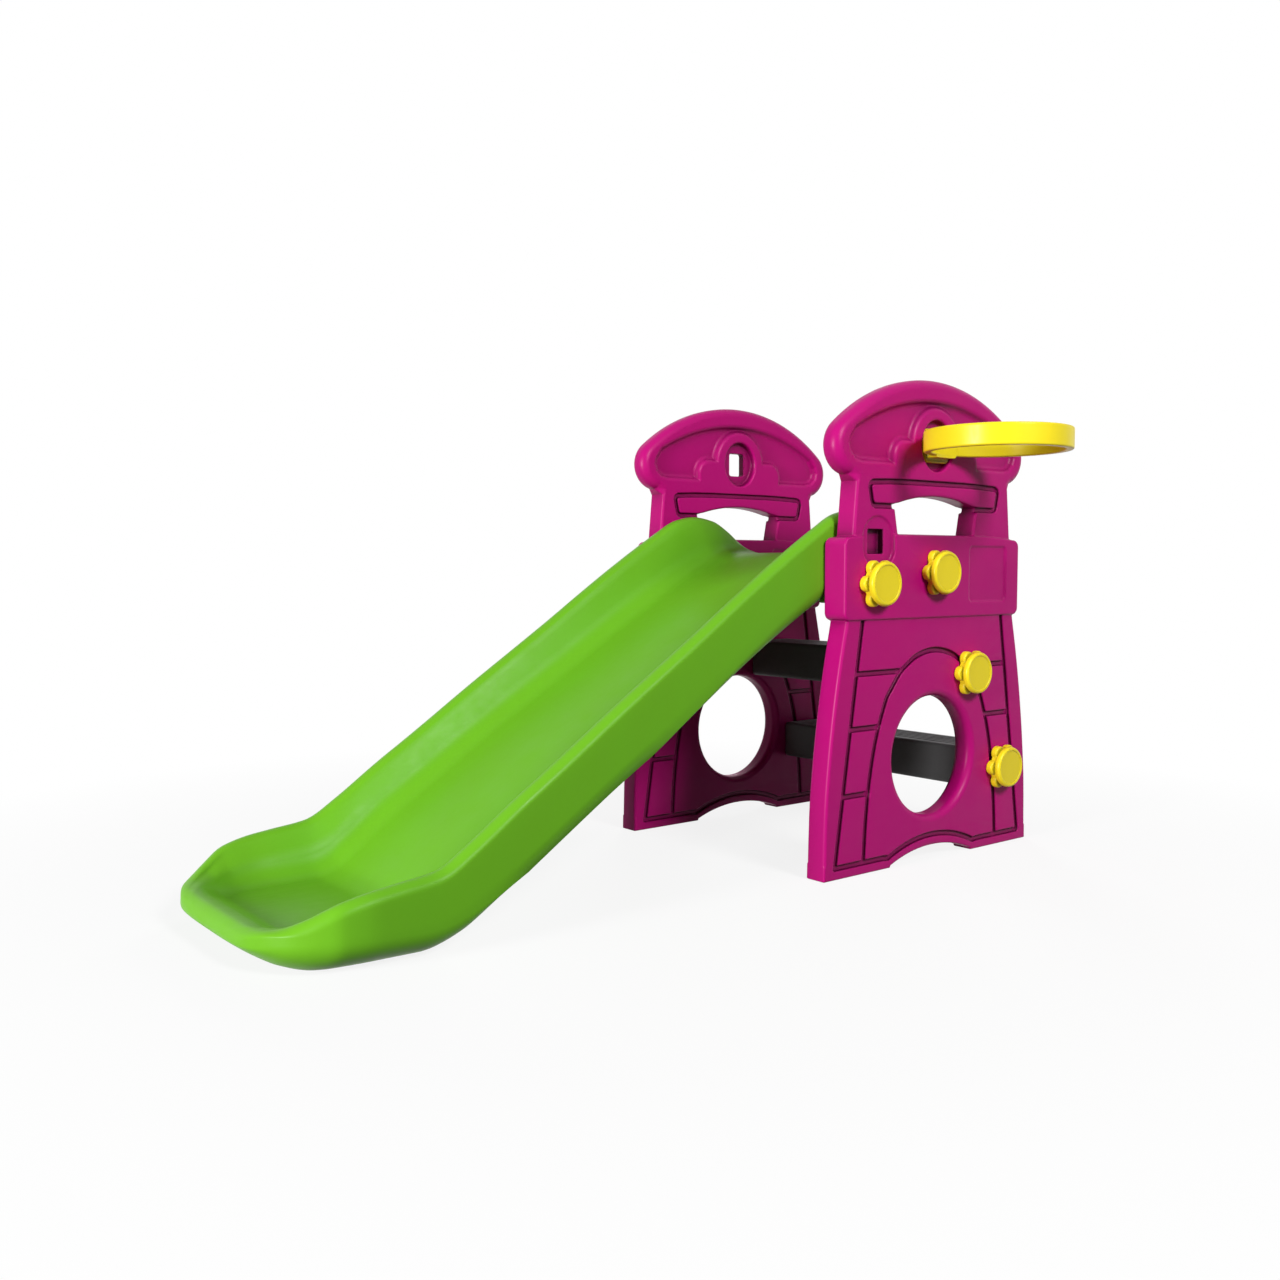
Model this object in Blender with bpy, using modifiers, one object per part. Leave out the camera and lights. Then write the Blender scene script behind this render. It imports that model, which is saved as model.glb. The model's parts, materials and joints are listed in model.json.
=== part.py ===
"""Toddler slide with two moulded side panels, a ladder of three steps, a chute and a ball hoop."""

import math

import bmesh
import bpy
import numpy as np
from mathutils import Matrix

# All sizes are in metres. X runs along the chute and falls towards minus X, Z is up.

# Clearance between touching pieces
GAP = 0.0003

# Side panels, measured about the middle of a panel
PANEL_HEIGHT = 0.950
PANELS_WIDE = 0.6134
PANEL_THICK = 0.0457
BAND_PROUD = 0.004
FOOT_HALF = 0.3135
WAIST_HALF = 0.2565
BAND_HALF = 0.268
BAND_LOW = 0.484
BAND_TOP = 0.6475
BAND_SHOULDER = 0.640
BAND_CORNER = 0.015
BAND_ROUND = 0.004
NECK_LOW_HALF = 0.2415
NECK_TOP_HALF = 0.2325
NECK_TOP = 0.750
BASE_ARCH_HALF = 0.126
BASE_ARCH_RISE = 0.0285
BASE_ARCH_STEP = 0.004
BASE_LINE_UP = 0.021
EDGE_ROUND = 0.006
FOOT_ROUND = 0.003
CAP_ROUND = 0.019

# How a panel narrows upwards, as (share of the height to the band, share of the way in)
FLARE = ((0.0, 0.0), (0.25, 0.055), (0.45, 0.20), (0.62, 0.385), (0.83, 0.69), (1.0, 1.0), (1.16, 1.27))

# Arched cap of a panel
CAP_RADIUS = 0.425
CAP_CORNER_RADIUS = 0.056
CAP_CORNER_ANGLE = 39.2
CAP_RECESS_RADIUS = 0.480
CAP_RECESS_TOP = 0.908
CAP_RECESS_LOW = 0.781
CAP_RECESS_HALF = 0.236
CAP_RECESS_DEPTH = 0.011
CAP_RECESS_DRAFT = 0.004

# Hoop mount in the cap
BOSS_RADIUS = 0.0725
BOSS_LOW_HALF = 0.127
BOSS_LOW_TOP = 0.826
MOUNT_Z = 0.8215
OVAL_HALF = 0.047
OVAL_TALL = 0.051
OVAL_WALL = 0.017
OVAL_DRAFT = 0.003
SLOT_HALF = 0.022
SLOT_HALF_TALL = 0.026
SLOT_CORNER = 0.006

# Openings of a panel
CRAWL_Z = 0.2086
CRAWL_RADIUS = 0.119
CRAWL_BEVEL = 0.015
WINDOW_LOW_HALF = 0.115
WINDOW_TOP_HALF = 0.126
WINDOW_CORNER_Z = 0.703
WINDOW_TOP = 0.722

# Relief lines of a panel
SIDE_LINE_LOW = 0.2835
SIDE_LINE_TOP = 0.2165
GROOVE_WIDTH = 0.011
GROOVE_DEPTH = 0.006
BRICK_Z = (0.154, 0.279, 0.383)
NICHE_X = -0.173
NICHE_HALF = 0.046
NICHE_TOP = 0.683
NICHE_LOW = 0.585
NICHE_LOW_CORNER = 0.036
NICHE_DEPTH = 0.007
POCKET_X = -0.178
POCKET_HALF = 0.0225
POCKET_LOW = 0.609
POCKET_TOP = 0.656
POCKET_DEPTH = 0.021
PLATE_LOW_X = 0.101
PLATE_HIGH_X = 0.223
PLATE_LOW = 0.513
PLATE_TOP = 0.627
PLATE_DEPTH = 0.003
FIELD_DRAFT = 0.003

# Steps
PLATFORM_TOP = 0.6145
STEP_RISE = 0.2035
STEP_RUN = 0.1108
TOP_STEP_X = -0.0115
STEP_DEEP = 0.120
STEP_TALL = 0.0825
STEP_ROUND = 0.008
TREAD_LINES = (-0.034, -0.017, 0.0, 0.017, 0.034)
TREAD_LINE_WIDE = 0.005
TREAD_LINE_DEEP = 0.002
STEP_KNOB_AHEAD = 0.008

# Chute. The rim is measured up from the line of the slope, and so is the edge of the outer wall.
CHUTE_LONG = 1.350
LIP_THICK = 0.008
LIP_END = 0.005
TOP_BEND_X = -0.170
BEND_DROP = 0.01893
RUN_OUT_LONG = 0.285
RUN_OUT_BED = 0.040
RUN_OUT_RIM = 0.1205
SLOPE_FOOT_BED = 0.050
FOOT_FLARE = 0.0033
RIM_UP_LOW = 0.08917
RIM_UP_HIGH = 0.12493
EDGE_UP_LOW = -0.01713
EDGE_UP_HIGH = 0.01553
RIM_OVER_PLATFORM = 0.0805
RIM_HALF_THICK = 0.018
BED_THICK = 0.033
BOW = 0.0095
CHUTE_KNOB_X = -0.1835
CHUTE_KNOB_DROP = 0.0615
LUG_HALF = 0.045
LUG_BELOW = 0.038
LUG_ABOVE = 0.047
LUG_DEEP = 0.052
LUG_PROUD = 0.001

# Knobs and the threaded sockets they turn in
KNOB_LOBES = 6
KNOB_FLANGE_RADIUS = 0.048
KNOB_LOBE_RADIUS = 0.015
KNOB_NOTCH_RADIUS = 0.031
KNOB_FLANGE_THICK = 0.015
KNOB_DISC_RADIUS = 0.042
KNOB_REACH = 0.030
KNOB_SEAT_CLEAR = 0.030
KNOB_FACE_RADIUS = 0.033
KNOB_FACE_DEPTH = 0.0025
THREAD_RADIUS = 0.0110
THREAD_ROOT = 0.0090
THREAD_PITCH = 0.0080
THREAD_START = 0.0300
SHANK_END = 0.078
SOCKET_RADIUS = 0.0160
SOCKET_COLLAR_RADIUS = 0.0210
SOCKET_COLLAR_THICK = 0.0030
SOCKET_LONG = 0.0380
SOCKET_BORE_LONG = 0.0350
SMALL_SIDES = 12

# Hoop
HOOP_RADIUS = 0.1364
HOOP_WALL = 0.015
HOOP_FACE_GAP = 0.0025
HOOP_HALF_TALL = 0.02035
HOOP_PLATE_HALF = 0.036
HOOP_PLATE_HALF_TALL = 0.033
HOOP_PLATE_THICK = 0.012
HOOP_NECK_HALF = 0.030
HOOP_TONGUE_CLEAR = 0.0006
HOOP_TONGUE_REACH = 0.012

# Worked out from the sizes above
PANEL_OUTER_FACE = PANELS_WIDE / 2
PANEL_MIDDLE = PANEL_OUTER_FACE - PANEL_THICK / 2
BODY_HALF = PANEL_THICK / 2
BAND_DEEP = BODY_HALF + BAND_PROUD
BODY_INNER_FACE = PANEL_MIDDLE - BODY_HALF
BAND_INNER_FACE = PANEL_MIDDLE - BAND_DEEP
BAND_OUTER_FACE = PANEL_MIDDLE + BAND_DEEP
CHUTE_HALF = BAND_INNER_FACE - GAP
SLOPE_FOOT_WIDE = CHUTE_HALF + FOOT_FLARE
CHUTE_NOSE = LIP_END - CHUTE_LONG
SLOPE_FOOT = CHUTE_NOSE + RUN_OUT_LONG
CHUTE_SLOPE = (PLATFORM_TOP - BEND_DROP - SLOPE_FOOT_BED) / (TOP_BEND_X - SLOPE_FOOT)
CHUTE_KNOB_Z = PLATFORM_TOP - CHUTE_KNOB_DROP
LUG_LOW = CHUTE_KNOB_Z - LUG_BELOW
LUG_TOP = CHUTE_KNOB_Z + LUG_ABOVE
BORE = (THREAD_RADIUS + GAP) / math.cos(math.pi / SMALL_SIDES)

# Colours
MAGENTA = (0.42, 0.008, 0.155)
GREEN = (0.165, 0.52, 0.022)
YELLOW = (0.91, 0.72, 0.04)
DARK_GREY = (0.042, 0.046, 0.046)
PALE_GREY = (0.30, 0.31, 0.32)


def clear_scene():
    for old in list(bpy.data.objects):
        bpy.data.objects.remove(old, do_unlink=True)


def new_collection(name, hidden):
    made = bpy.data.collections.new(name)
    bpy.context.scene.collection.children.link(made)
    made.hide_render = hidden
    return made


def plastic(name, colour, roughness):
    made = bpy.data.materials.new(name)
    made.use_nodes = True
    shader = made.node_tree.nodes["Principled BSDF"]
    shader.inputs["Base Color"].default_value = (*colour, 1.0)
    shader.inputs["Roughness"].default_value = roughness
    shader.inputs["Metallic"].default_value = 0.0
    made.diffuse_color = (*colour, 1.0)
    return made


def add_object(name, mesh, collection, material=None):
    made = bpy.data.objects.new(name, mesh)
    collection.objects.link(made)
    if material is not None:
        mesh.materials.clear()
        mesh.materials.append(material)
    if collection is CUTTERS:
        made.hide_render = True
        made.display_type = "WIRE"
    return made


def finish_mesh(name, shape):
    bmesh.ops.recalc_face_normals(shape, faces=shape.faces)
    mesh = bpy.data.meshes.new(name)
    shape.to_mesh(mesh)
    shape.free()
    return mesh


def prism(name, outline, low_y, high_y):
    """A flat outline in X and Z, pushed out along Y."""
    shape = bmesh.new()
    face = shape.faces.new([shape.verts.new((x, low_y, z)) for x, z in outline])
    pushed = bmesh.ops.extrude_face_region(shape, geom=[face], use_keep_orig=True)
    moved = [part for part in pushed["geom"] if isinstance(part, bmesh.types.BMVert)]
    bmesh.ops.translate(shape, verts=moved, vec=(0, high_y - low_y, 0))
    return finish_mesh(name, shape)


def box(name, low, high):
    shape = bmesh.new()
    bmesh.ops.create_cube(shape, size=1)
    sizes = [top - bottom for bottom, top in zip(low, high)]
    middle = [(top + bottom) / 2 for bottom, top in zip(low, high)]
    bmesh.ops.scale(shape, verts=shape.verts, vec=sizes)
    bmesh.ops.translate(shape, verts=shape.verts, vec=middle)
    return finish_mesh(name, shape)


def ring_outline(centre_x, centre_z, half_x, half_z, sides):
    turns = [2 * math.pi * i / sides for i in range(sides)]
    return [(centre_x + half_x * math.cos(t), centre_z + half_z * math.sin(t)) for t in turns]


def round_bar(name, centre_x, centre_z, radius, low_y, high_y, sides):
    """A cylinder along Y."""
    shape = bmesh.new()
    long = high_y - low_y
    bmesh.ops.create_cone(shape, cap_ends=True, segments=sides, radius1=radius, radius2=radius, depth=long)
    bmesh.ops.rotate(shape, verts=shape.verts, matrix=Matrix.Rotation(math.pi / 2, 3, "X"))
    bmesh.ops.translate(shape, verts=shape.verts, vec=(centre_x, (low_y + high_y) / 2, centre_z))
    return finish_mesh(name, shape)


def grown(outline, distance):
    """The outline with every corner moved outwards."""
    points = np.array(outline)
    out = np.roll(points, -1, axis=0) - points
    out = out / np.linalg.norm(out, axis=1)[:, None]
    into = np.roll(out, 1, axis=0)
    across = np.column_stack([into[:, 1] + out[:, 1], -into[:, 0] - out[:, 0]])
    across = across / np.linalg.norm(across, axis=1)[:, None]
    square = across[:, 0] * out[:, 1] - across[:, 1] * out[:, 0]
    after = np.roll(points, -1, axis=0)
    turn = np.sign(np.sum(points[:, 0] * after[:, 1] - after[:, 0] * points[:, 1]))
    return points + across * (turn * distance / np.maximum(0.5, square))[:, None]


def sunk(name, outline, side, face, depth, draft):
    """A cutter for a field pressed into a face, with walls that lean outwards."""
    over = 0.006
    deep_line = grown(outline, -draft)
    far_line = grown(outline, draft * over / depth)
    shape = bmesh.new()
    deep = [shape.verts.new((x, side * (face - depth), z)) for x, z in deep_line]
    far = [shape.verts.new((x, side * (face + over), z)) for x, z in far_line]
    shape.faces.new(deep)
    shape.faces.new(list(reversed(far)))
    count = len(deep)
    for i in range(count):
        after = (i + 1) % count
        shape.faces.new((deep[i], far[i], far[after], deep[after]))
    return finish_mesh(name, shape)


def lathe(name, profile, sides, axis):
    """A closed profile of (radius, along) points turned about the Y or Z axis."""
    shape = bmesh.new()
    if axis == "Y":
        corners = [shape.verts.new((radius, along, 0)) for radius, along in profile]
        direction = (0, 1, 0)
    else:
        corners = [shape.verts.new((radius, 0, along)) for radius, along in profile]
        direction = (0, 0, 1)
    sides_of_profile = [
        shape.edges.new((corners[i], corners[(i + 1) % len(corners)]))
        for i in range(len(corners))
        if max(profile[i][0], profile[(i + 1) % len(corners)][0]) > 0
    ]
    bmesh.ops.spin(
        shape,
        geom=corners + sides_of_profile,
        cent=(0, 0, 0),
        axis=direction,
        angle=2 * math.pi,
        steps=sides,
        use_merge=True,
    )
    bmesh.ops.remove_doubles(shape, verts=shape.verts, dist=0.00001)
    return finish_mesh(name, shape)


def bevel(item, width, segments, by_weight=False):
    step = item.modifiers.new("Rounded edges", "BEVEL")
    step.width = width
    step.segments = segments
    step.limit_method = "WEIGHT" if by_weight else "ANGLE"
    step.angle_limit = math.radians(32)
    step.use_clamp_overlap = True


def combine(item, mesh, operation):
    other = add_object(mesh.name, mesh, CUTTERS)
    step = item.modifiers.new(mesh.name, "BOOLEAN")
    step.operation = operation
    step.solver = "EXACT"
    step.object = other
    return other


def cut(item, mesh):
    return combine(item, mesh, "DIFFERENCE")


def join(item, mesh):
    return combine(item, mesh, "UNION")


def settled_mesh(item, name):
    """The mesh of an object with its modifiers applied."""
    bpy.context.view_layer.update()
    graph = bpy.context.evaluated_depsgraph_get()
    mesh = bpy.data.meshes.new_from_object(item.evaluated_get(graph))
    mesh.name = name
    shape = bmesh.new()
    shape.from_mesh(mesh)
    bmesh.ops.remove_doubles(shape, verts=shape.verts, dist=0.000002)
    bmesh.ops.triangulate(shape, faces=shape.faces)
    shape.to_mesh(mesh)
    shape.free()
    return mesh


def smooth(mesh, angle):
    shape = bmesh.new()
    shape.from_mesh(mesh)
    for face in shape.faces:
        face.smooth = True
    for edge in shape.edges:
        if len(edge.link_faces) == 2:
            edge.smooth = edge.calc_face_angle() < math.radians(angle)
    shape.to_mesh(mesh)
    shape.free()


def arc(centre_x, centre_z, radius, start, end, steps):
    turns = [math.radians(start + (end - start) * i / steps) for i in range(steps + 1)]
    return [(centre_x + radius * math.cos(t), centre_z + radius * math.sin(t)) for t in turns]


def mirrored(half):
    """A right half outline, from the bottom up, made whole."""
    return half + [(-x, z) for x, z in reversed(half) if abs(x) > 0.00001]


def groove(name, path, side):
    """A channel cutter along a path on the face of a panel."""
    points = np.array(path)
    steps = np.diff(points, axis=0)
    steps = steps / np.linalg.norm(steps, axis=1)[:, None]
    into = np.vstack([steps[:1], steps])
    out = np.vstack([steps, steps[-1:]])
    across = np.column_stack([-(into[:, 1] + out[:, 1]), into[:, 0] + out[:, 0]])
    across = across / np.linalg.norm(across, axis=1)[:, None]
    square = np.maximum(0.5, across[:, 1] * out[:, 0] - across[:, 0] * out[:, 1])
    across = across / square[:, None]
    wide = GROOVE_WIDTH / 2
    profile = ((-1.6 * wide, 0.6), (-0.45 * wide, -1.0), (0.45 * wide, -1.0), (1.6 * wide, 0.6))
    shape = bmesh.new()
    rings = []
    for point, away in zip(points, across):
        ring = []
        for offset, height in profile:
            flat = point + away * offset
            y = side * (BODY_HALF + height * GROOVE_DEPTH)
            ring.append(shape.verts.new((flat[0], y, flat[1])))
        rings.append(ring)
    for first, second in zip(rings, rings[1:]):
        for k in range(4):
            shape.faces.new((first[k], first[(k + 1) % 4], second[(k + 1) % 4], second[k]))
    shape.faces.new(rings[0])
    shape.faces.new(list(reversed(rings[-1])))
    return finish_mesh(name, shape)


def side_half(z):
    """Half width of the lower body at a height."""
    return FOOT_HALF + (WAIST_HALF - FOOT_HALF) * eased(FLARE, z / BAND_LOW)


def base_outline():
    """The lower body of a panel, with its arched underside."""
    top = 1.155 * BAND_LOW
    rise = BASE_ARCH_RISE - BASE_ARCH_STEP
    radius = (BASE_ARCH_HALF**2 + rise**2) / (2 * rise)
    span = math.degrees(math.asin(BASE_ARCH_HALF / radius))
    arch = arc(0, BASE_ARCH_RISE - radius, radius, 90, 90 - span, 5)
    sides = [(side_half(top * i / 6), top * i / 6) for i in range(7)]
    return mirrored(arch + [(BASE_ARCH_HALF, 0.0)] + sides)


def band_outline():
    """The proud band round a panel, whose top edge falls a little towards its ends."""
    side = BAND_HALF - BAND_CORNER
    half = arc(side, BAND_LOW + BAND_CORNER, BAND_CORNER, -90, 0, 3)
    half += arc(side, BAND_SHOULDER - BAND_CORNER, BAND_CORNER, 0, 84, 3)
    half += [(0.6 * WINDOW_LOW_HALF + 0.4 * side, BAND_TOP - 0.3 * (BAND_TOP - BAND_SHOULDER))]
    return mirrored(half + [(WINDOW_LOW_HALF, BAND_TOP)])


def cap_corner_centre():
    turn = math.radians(CAP_CORNER_ANGLE)
    reach = CAP_RADIUS - CAP_CORNER_RADIUS
    low = PANEL_HEIGHT - CAP_RADIUS
    return reach * math.sin(turn), low + reach * math.cos(turn)


def head_outline():
    """Neck and arched cap of a panel."""
    low = BAND_TOP - 0.060
    lean = (NECK_LOW_HALF - NECK_TOP_HALF) / (NECK_TOP - BAND_TOP)
    corner_x, corner_z = cap_corner_centre()
    half = [(NECK_LOW_HALF + lean * (BAND_TOP - low), low), (NECK_TOP_HALF, NECK_TOP - 0.006)]
    half += [(NECK_TOP_HALF + 0.008, NECK_TOP + 0.001)]
    half += arc(corner_x, corner_z, CAP_CORNER_RADIUS, -76, 90 - CAP_CORNER_ANGLE, 5)
    low_centre = PANEL_HEIGHT - CAP_RADIUS
    half += arc(0, low_centre, CAP_RADIUS, 90 - CAP_CORNER_ANGLE, 90, 7)[1:]
    return mirrored(half)


def cap_recess_outline():
    """The sunk field of the cap, which goes round the raised hoop mount."""
    low_centre = CAP_RECESS_TOP - CAP_RECESS_RADIUS
    span = math.degrees(math.asin(CAP_RECESS_HALF / CAP_RECESS_RADIUS))
    corner = math.radians(90 - span)
    end_x = CAP_RECESS_RADIUS * math.cos(corner)
    end_z = low_centre + CAP_RECESS_RADIUS * math.sin(corner)
    outer = [(BOSS_LOW_HALF, CAP_RECESS_LOW), (CAP_RECESS_HALF - 0.018, CAP_RECESS_LOW)]
    outer += [(CAP_RECESS_HALF, CAP_RECESS_LOW + 0.004), (0.249, 0.797), (0.254, 0.812)]
    outer += [(0.250, 0.827), (end_x, end_z)]
    outer += arc(0, low_centre, CAP_RECESS_RADIUS, 90 - span, 90, 7)[1:]
    shoulder = arc(BOSS_LOW_HALF - 0.030, BOSS_LOW_TOP - 0.030, 0.030, 0, 90, 3)
    rise = math.degrees(math.asin((BOSS_LOW_TOP - MOUNT_Z) / BOSS_RADIUS))
    dome = arc(0, MOUNT_Z, BOSS_RADIUS, rise, 90, 7)
    inner = shoulder + dome
    left_outer = [(-x, z) for x, z in reversed(outer) if x > 0.00001]
    left_inner = [(-x, z) for x, z in inner if x > 0.00001]
    return outer + left_outer + left_inner + list(reversed(inner))


def window_outline():
    rise = WINDOW_TOP - WINDOW_CORNER_Z
    radius = (WINDOW_TOP_HALF**2 + rise**2) / (2 * rise)
    span = math.degrees(math.asin(WINDOW_TOP_HALF / radius))
    half = [(WINDOW_LOW_HALF, BAND_TOP)]
    half += arc(0, WINDOW_TOP - radius, radius, 90 - span, 90, 4)
    return mirrored(half)


def rounded_box(low_x, high_x, low_z, high_z, radius, steps=2):
    outline = arc(high_x - radius, low_z + radius, radius, -90, 0, steps)
    outline += arc(high_x - radius, high_z - radius, radius, 0, 90, steps)
    outline += arc(low_x + radius, high_z - radius, radius, 90, 180, steps)
    outline += arc(low_x + radius, low_z + radius, radius, 180, 270, steps)
    return outline


def niche_outline():
    side = NICHE_HALF - NICHE_LOW_CORNER
    corner_z = NICHE_LOW + NICHE_LOW_CORNER
    outline = arc(NICHE_X - side, corner_z, NICHE_LOW_CORNER, 180, 270, 3)
    outline += arc(NICHE_X + side, corner_z, NICHE_LOW_CORNER, -90, 0, 3)
    return outline + arc(NICHE_X, NICHE_TOP - NICHE_HALF, NICHE_HALF, 0, 180, 7)


def side_line(z):
    """Where the line along the edge of the lower body is at a height."""
    return SIDE_LINE_LOW - (z - 0.022) * (SIDE_LINE_LOW - SIDE_LINE_TOP) / (BAND_LOW - 0.040)


def arch_line_half():
    return [
        (0.205, 0.024),
        (0.200, 0.100),
        (0.190, 0.180),
        (0.173, 0.256),
        (0.147, 0.325),
        (0.131, 0.3485),
        (0.104, 0.380),
        (0.085, 0.3935),
        (0.062, 0.407),
        (0.032, 0.4165),
        (0.0, 0.420),
    ]


def arch_line_parts():
    """The arched line over the crawl hole, left out where the middle step's knob is seated."""
    hole = knob_places()[2]
    whole = mirrored(arch_line_half())
    near = [i for i, point in enumerate(whole) if math.dist(point, hole) < KNOB_SEAT_CLEAR]
    return [whole[: near[0]], whole[near[-1] + 1 :]]


def arch_line_at(z):
    points = arch_line_half()
    for low, high in zip(points, points[1:]):
        if low[1] <= z <= high[1]:
            return low[0] + (high[0] - low[0]) * (z - low[1]) / (high[1] - low[1])
    return 0.0


def brick_line(way, z):
    """A level line from the side line to the arched line, left out where a knob is seated."""
    end = arch_line_at(z)
    for hole_x, hole_z in knob_places():
        if way > 0 and abs(z - hole_z) < KNOB_SEAT_CLEAR:
            end = max(end, hole_x + KNOB_SEAT_CLEAR)
    return [(way * side_line(z), z), (way * end, z)]


def relief_paths():
    """Every line pressed into a face of a panel."""
    radius = (BASE_ARCH_HALF**2 + BASE_ARCH_RISE**2) / (2 * BASE_ARCH_RISE)
    over = radius + BASE_LINE_UP
    span = math.degrees(math.asin((BASE_ARCH_HALF + 0.006) / over))
    foot = arc(0, BASE_ARCH_RISE - radius, over, 90 - span, 90, 4)
    border = [(side_line(BAND_LOW + 0.02), BAND_LOW + 0.02), (side_line(0.022), 0.022)]
    border = border + [(BASE_ARCH_HALF + 0.020, 0.022)] + foot
    paths = [mirrored(border)] + arch_line_parts()
    for z in BRICK_Z:
        paths += [brick_line(way, z) for way in (-1, 1)]
    bar = [(WINDOW_TOP_HALF - 0.010, 0.700), (0.183, 0.700), (0.190, 0.706), (0.197, 0.7345)]
    paths += [mirrored(bar + [(0.189, 0.7440), (0.085, 0.7475)])]
    return paths


def weigh_edges(mesh, weight_of):
    """How far the bevel takes each edge, from 0 to 1."""
    weights = mesh.attributes.new("bevel_weight_edge", "FLOAT", "EDGE")
    for edge in mesh.edges:
        first, second = [mesh.vertices[i].co for i in edge.vertices]
        weights.data[edge.index].value = weight_of(first, second)


def base_weight(first, second):
    flat = abs(first.y - second.y) < 0.0001
    low = max(first.z, second.z) < BASE_ARCH_RISE + 0.001
    if not flat or min(first.z, second.z) > BAND_LOW + 0.050:
        return 0.0
    return FOOT_ROUND / EDGE_ROUND if low else 1.0


def head_weight(first, second):
    flat = abs(first.y - second.y) < 0.0001
    if not flat or max(first.z, second.z) < BAND_TOP:
        return 0.0
    return 1.0 if min(first.z, second.z) > NECK_TOP else EDGE_ROUND / CAP_ROUND


def side_panel_mesh():
    base = prism("panel_base", base_outline(), -BODY_HALF, BODY_HALF)
    weigh_edges(base, base_weight)
    blank = add_object("panel_blank", base, CUTTERS)
    bevel(blank, EDGE_ROUND, 2, by_weight=True)

    head_mesh = prism("panel_head", head_outline(), -BODY_HALF, BODY_HALF)
    weigh_edges(head_mesh, head_weight)
    head = join(blank, head_mesh)
    bevel(head, CAP_ROUND, 3, by_weight=True)

    band = join(blank, prism("panel_band", band_outline(), -BAND_DEEP, BAND_DEEP))
    bevel(band, BAND_ROUND, 2)

    through = BAND_DEEP + 0.02
    cut(blank, crawl_cutter())
    cut(blank, prism("window", window_outline(), -through, through))
    slot_low = MOUNT_Z - SLOT_HALF_TALL
    slot = rounded_box(-SLOT_HALF, SLOT_HALF, slot_low, MOUNT_Z + SLOT_HALF_TALL, SLOT_CORNER)
    cut(blank, prism("hoop_slot", slot, -through, through))
    for number, (x, z) in enumerate(knob_places()):
        cut(blank, round_bar(f"screw_hole_{number}", x, z, BORE, -through, through, SMALL_SIDES))

    oval = ring_outline(0, MOUNT_Z, OVAL_HALF, OVAL_TALL, 24)
    pocket = rounded_box(POCKET_X - POCKET_HALF, POCKET_X + POCKET_HALF, POCKET_LOW, POCKET_TOP, 0.003)
    plate = rounded_box(PLATE_LOW_X, PLATE_HIGH_X, PLATE_LOW, PLATE_TOP, 0.010)
    oval_depth = BODY_HALF - OVAL_WALL / 2
    for side, tag in ((-1, "inner"), (1, "outer")):
        cap = cap_recess_outline()
        cut(blank, sunk("cap_" + tag, cap, side, BODY_HALF, CAP_RECESS_DEPTH, CAP_RECESS_DRAFT))
        cut(blank, sunk("oval_" + tag, oval, side, BODY_HALF, oval_depth, OVAL_DRAFT))
        cut(blank, sunk("niche_" + tag, niche_outline(), side, BAND_DEEP, NICHE_DEPTH, FIELD_DRAFT))
        cut(blank, sunk("pocket_" + tag, pocket, side, BAND_DEEP, POCKET_DEPTH, 0.001))
        cut(blank, sunk("plate_" + tag, plate, side, BAND_DEEP, PLATE_DEPTH, FIELD_DRAFT))
        for number, path in enumerate(relief_paths()):
            cut(blank, groove(f"line_{tag}_{number}", path, side))

    mesh = settled_mesh(blank, "side_panel")
    smooth(mesh, 35)
    return mesh


def crawl_cutter():
    """The crawl hole with a rounded mouth on each face, turned about Y."""
    rim = CRAWL_RADIUS + CRAWL_BEVEL
    mouth = [
        (0.0, BODY_HALF + 0.004),
        (rim + 0.010, BODY_HALF + 0.004),
        (rim, BODY_HALF),
        (CRAWL_RADIUS + 0.3 * CRAWL_BEVEL, BODY_HALF - 0.3 * CRAWL_BEVEL),
        (CRAWL_RADIUS, BODY_HALF - CRAWL_BEVEL),
    ]
    profile = mouth + [(radius, -along) for radius, along in reversed(mouth)]
    mesh = lathe("crawl_hole", profile, 32, "Y")
    mesh.transform(moved(0, 0, CRAWL_Z))
    return mesh


def moved(x, y, z):
    return Matrix.Translation((x, y, z))


def knob_places():
    """X and Z of each knob on a panel: chute, top step, middle step, lower step."""
    places = [(CHUTE_KNOB_X, CHUTE_KNOB_Z)]
    for number in range(3):
        x, top = step_place(number)
        places.append((x + STEP_KNOB_AHEAD, top - STEP_TALL / 2))
    return places


def step_place(number):
    """Middle in X and height of the tread, counted from the top step down."""
    return TOP_STEP_X + number * STEP_RUN, PLATFORM_TOP - number * STEP_RISE


def step_mesh(name, number):
    x, _ = step_place(number)
    end = (BAND_INNER_FACE if number == 0 else BODY_INNER_FACE) - GAP
    low = (-STEP_DEEP / 2, -end, -STEP_TALL)
    high = (STEP_DEEP / 2, end, 0)
    item = add_object(name + "_blank", box(name + "_blank", low, high), CUTTERS)
    bevel(item, STEP_ROUND, 2)
    lip_end = LIP_END - x + GAP if number == 0 else -STEP_DEEP
    for line_number, offset in enumerate(TREAD_LINES):
        if offset > lip_end + 0.006:
            low = (offset - TREAD_LINE_WIDE / 2, -end + 0.03, -TREAD_LINE_DEEP)
            high = (offset + TREAD_LINE_WIDE / 2, end - 0.03, 0.01)
            cut(item, box(f"{name}_line_{line_number}", low, high))
    if number == 0:
        rebate_low = (-STEP_DEEP, -end - 0.01, -LIP_THICK)
        cut(item, box(name + "_rebate", rebate_low, (lip_end, end + 0.01, 0.02)))
    for side in (-1, 1):
        cut_socket_seat(item, f"{name}_{side}", side, (STEP_KNOB_AHEAD, side * end, -STEP_TALL / 2))
    mesh = settled_mesh(item, name)
    smooth(mesh, 35)
    return mesh


def turned(side):
    """Cutters and knobs are drawn for the plus Y side and turned half round for the other."""
    return Matrix.Rotation(0 if side > 0 else math.pi, 4, "Z")


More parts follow.
